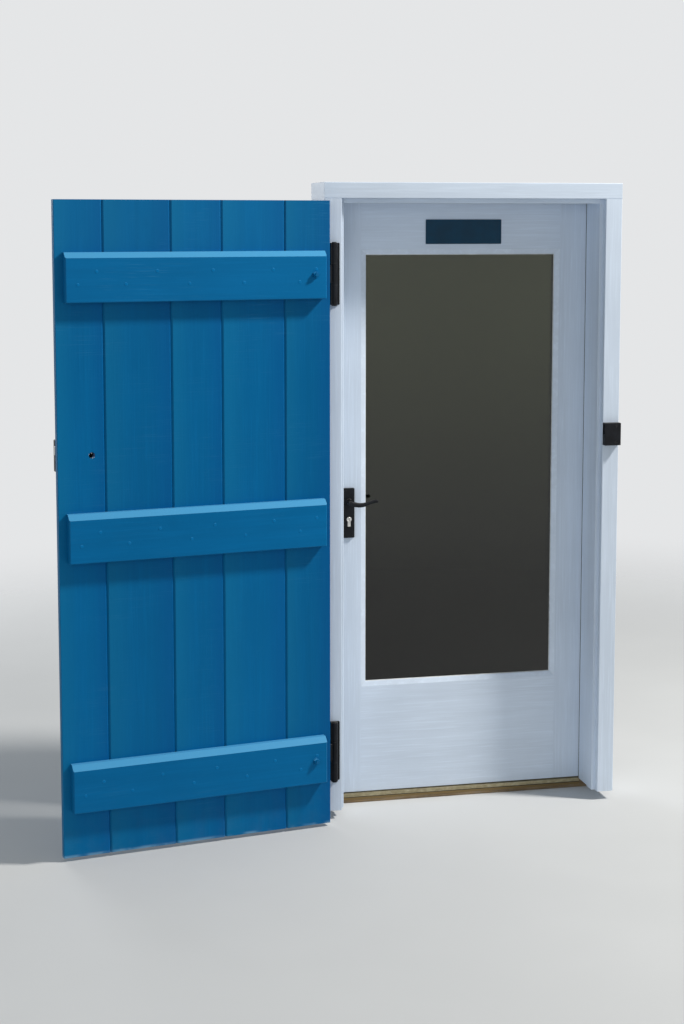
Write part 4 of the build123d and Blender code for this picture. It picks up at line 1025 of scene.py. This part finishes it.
# Stage
def pale_floor(name, radius):
    """A pale matt floor that fades into the background with the distance from the part."""
    material, tree, sockets = new_material(name, Roughness=0.85, Specular_IOR_Level=0.15)
    place = rest_place(tree)
    base = mixed(tree, ramped(tree, noise(tree, place, 1.4, 3.0, 0.5), 0.3, 0.7), *FLOOR)
    length = add_node(tree, "VectorMath", {0: place}, operation="LENGTH").outputs["Value"]
    low, high = [radius * share for share in FLOOR_FADE]
    feed(tree, sockets, Base_Color=base, Alpha=ramped(tree, length, low, high, 1.0, 0.0))
    return material


def even_sky(level):
    """Even light from all round, and a pale background where the camera or a reflection sees it."""
    world = bpy.data.worlds.new("even_sky")
    bpy.context.scene.world = world
    world.use_nodes = True
    tree = world.node_tree
    lit = tree.nodes["Background"]
    feed(tree, lit.inputs, Color=SKY_COLOUR, Strength=level)
    seen = add_node(tree, "Background", {"Color": BACKDROP})
    path = add_node(tree, "LightPath").outputs
    direct = calc(tree, "MAXIMUM", path["Is Camera Ray"], path["Is Glossy Ray"])
    direct = calc(tree, "MAXIMUM", direct, path["Is Transmission Ray"])
    both = add_node(tree, "MixShader",
                    {0: direct, 1: lit.outputs["Background"], 2: seen.outputs["Background"]})
    tree.links.new(both.outputs["Shader"], tree.nodes["World Output"].inputs["Surface"])


def add_lamp(name, place, size, power, colour):
    """A round lamp that looks at the part."""
    data = bpy.data.lights.new(name, "AREA")
    data.shape = "DISK"
    data.size = size
    data.energy = power
    data.color = colour
    made = new_object(name, data)
    made.location = place
    made.rotation_euler = (Vector(LAMP_AIM) - Vector(place)).to_track_quat("-Z", "Y").to_euler()


class DOOR_OT_stage(Operator):
    """Sets the camera, the pale floor, the lamps and the even sky"""
    bl_idname = "door_set.stage"
    bl_label = "Stage"

    def execute(self, context):
        stage = context.scene.door_stage
        context.scene.view_settings.view_transform = "Standard"
        data = bpy.data.cameras.new("camera")
        data.lens = stage.lens
        data.shift_y = -stage.drop
        data.clip_end = 200.0
        camera = new_object("camera", data)
        camera.location = stage.viewpoint
        aim = Vector(stage.aim) - Vector(stage.viewpoint)
        camera.rotation_euler = (pi / 2 + atan2(aim.z, hypot(aim.x, aim.y)), 0, -atan2(aim.x, aim.y))
        context.scene.camera = camera
        mesh = bmesh.new()
        rings = [ring_of(mesh, Matrix.Identity(4), stage.floor_radius * share, height=0.0, segments=96)
                 for share in (1.0, 0.4, 0.1)]
        for first, second in zip(rings, rings[1:]):
            band_between(mesh, first, second)
        mesh.faces.new(rings[-1])
        floor = mesh_object("floor", mesh, pale_floor("pale_floor", stage.floor_radius))
        for name, place, size, setting, share, colour in LAMPS:
            add_lamp(name, place, size, getattr(stage, setting) * share, colour)
        even_sky(stage.sky_level)
        return {"FINISHED"}


class DOOR_PT_panel(Panel):
    """Lists the steps that dress the door set"""
    bl_idname = "DOOR_PT_panel"
    bl_label = "Door set"
    bl_space_type = "VIEW_3D"
    bl_region_type = "UI"
    bl_category = "Door set"

    def draw(self, context):
        layout = self.layout
        for group in SETTINGS:
            settings = getattr(context.scene, group)
            column = layout.column()
            for name in settings.__annotations__:
                column.prop(settings, name)
        for operator in OPERATORS:
            layout.operator(operator.bl_idname)


OPERATORS = (DOOR_OT_white_timber, DOOR_OT_blue_leaf, DOOR_OT_ironwork, DOOR_OT_metals, DOOR_OT_glazing,
             DOOR_OT_leaf_fixings, DOOR_OT_iron_screws, DOOR_OT_furniture_screws, DOOR_OT_hinge_screws,
             DOOR_OT_stage)
SETTINGS = {"door_paint": PaintSettings, "door_metal": MetalSettings, "door_fixings": FixingSettings,
            "door_glazing": GlazingSettings, "door_stage": StageSettings}


def register():
    for name, settings in SETTINGS.items():
        bpy.utils.register_class(settings)
        setattr(bpy.types.Scene, name, PointerProperty(type=settings))
    for item in (*OPERATORS, DOOR_PT_panel):
        bpy.utils.register_class(item)


def unregister():
    for item in reversed((*OPERATORS, DOOR_PT_panel)):
        bpy.utils.unregister_class(item)
    for name, settings in SETTINGS.items():
        delattr(bpy.types.Scene, name)
        bpy.utils.unregister_class(settings)


def main():
    register()
    for operator in OPERATORS:
        step = operator.bl_idname.split(".")[1]
        getattr(bpy.ops.door_set, step)()


if __name__ == "__main__":
    main()
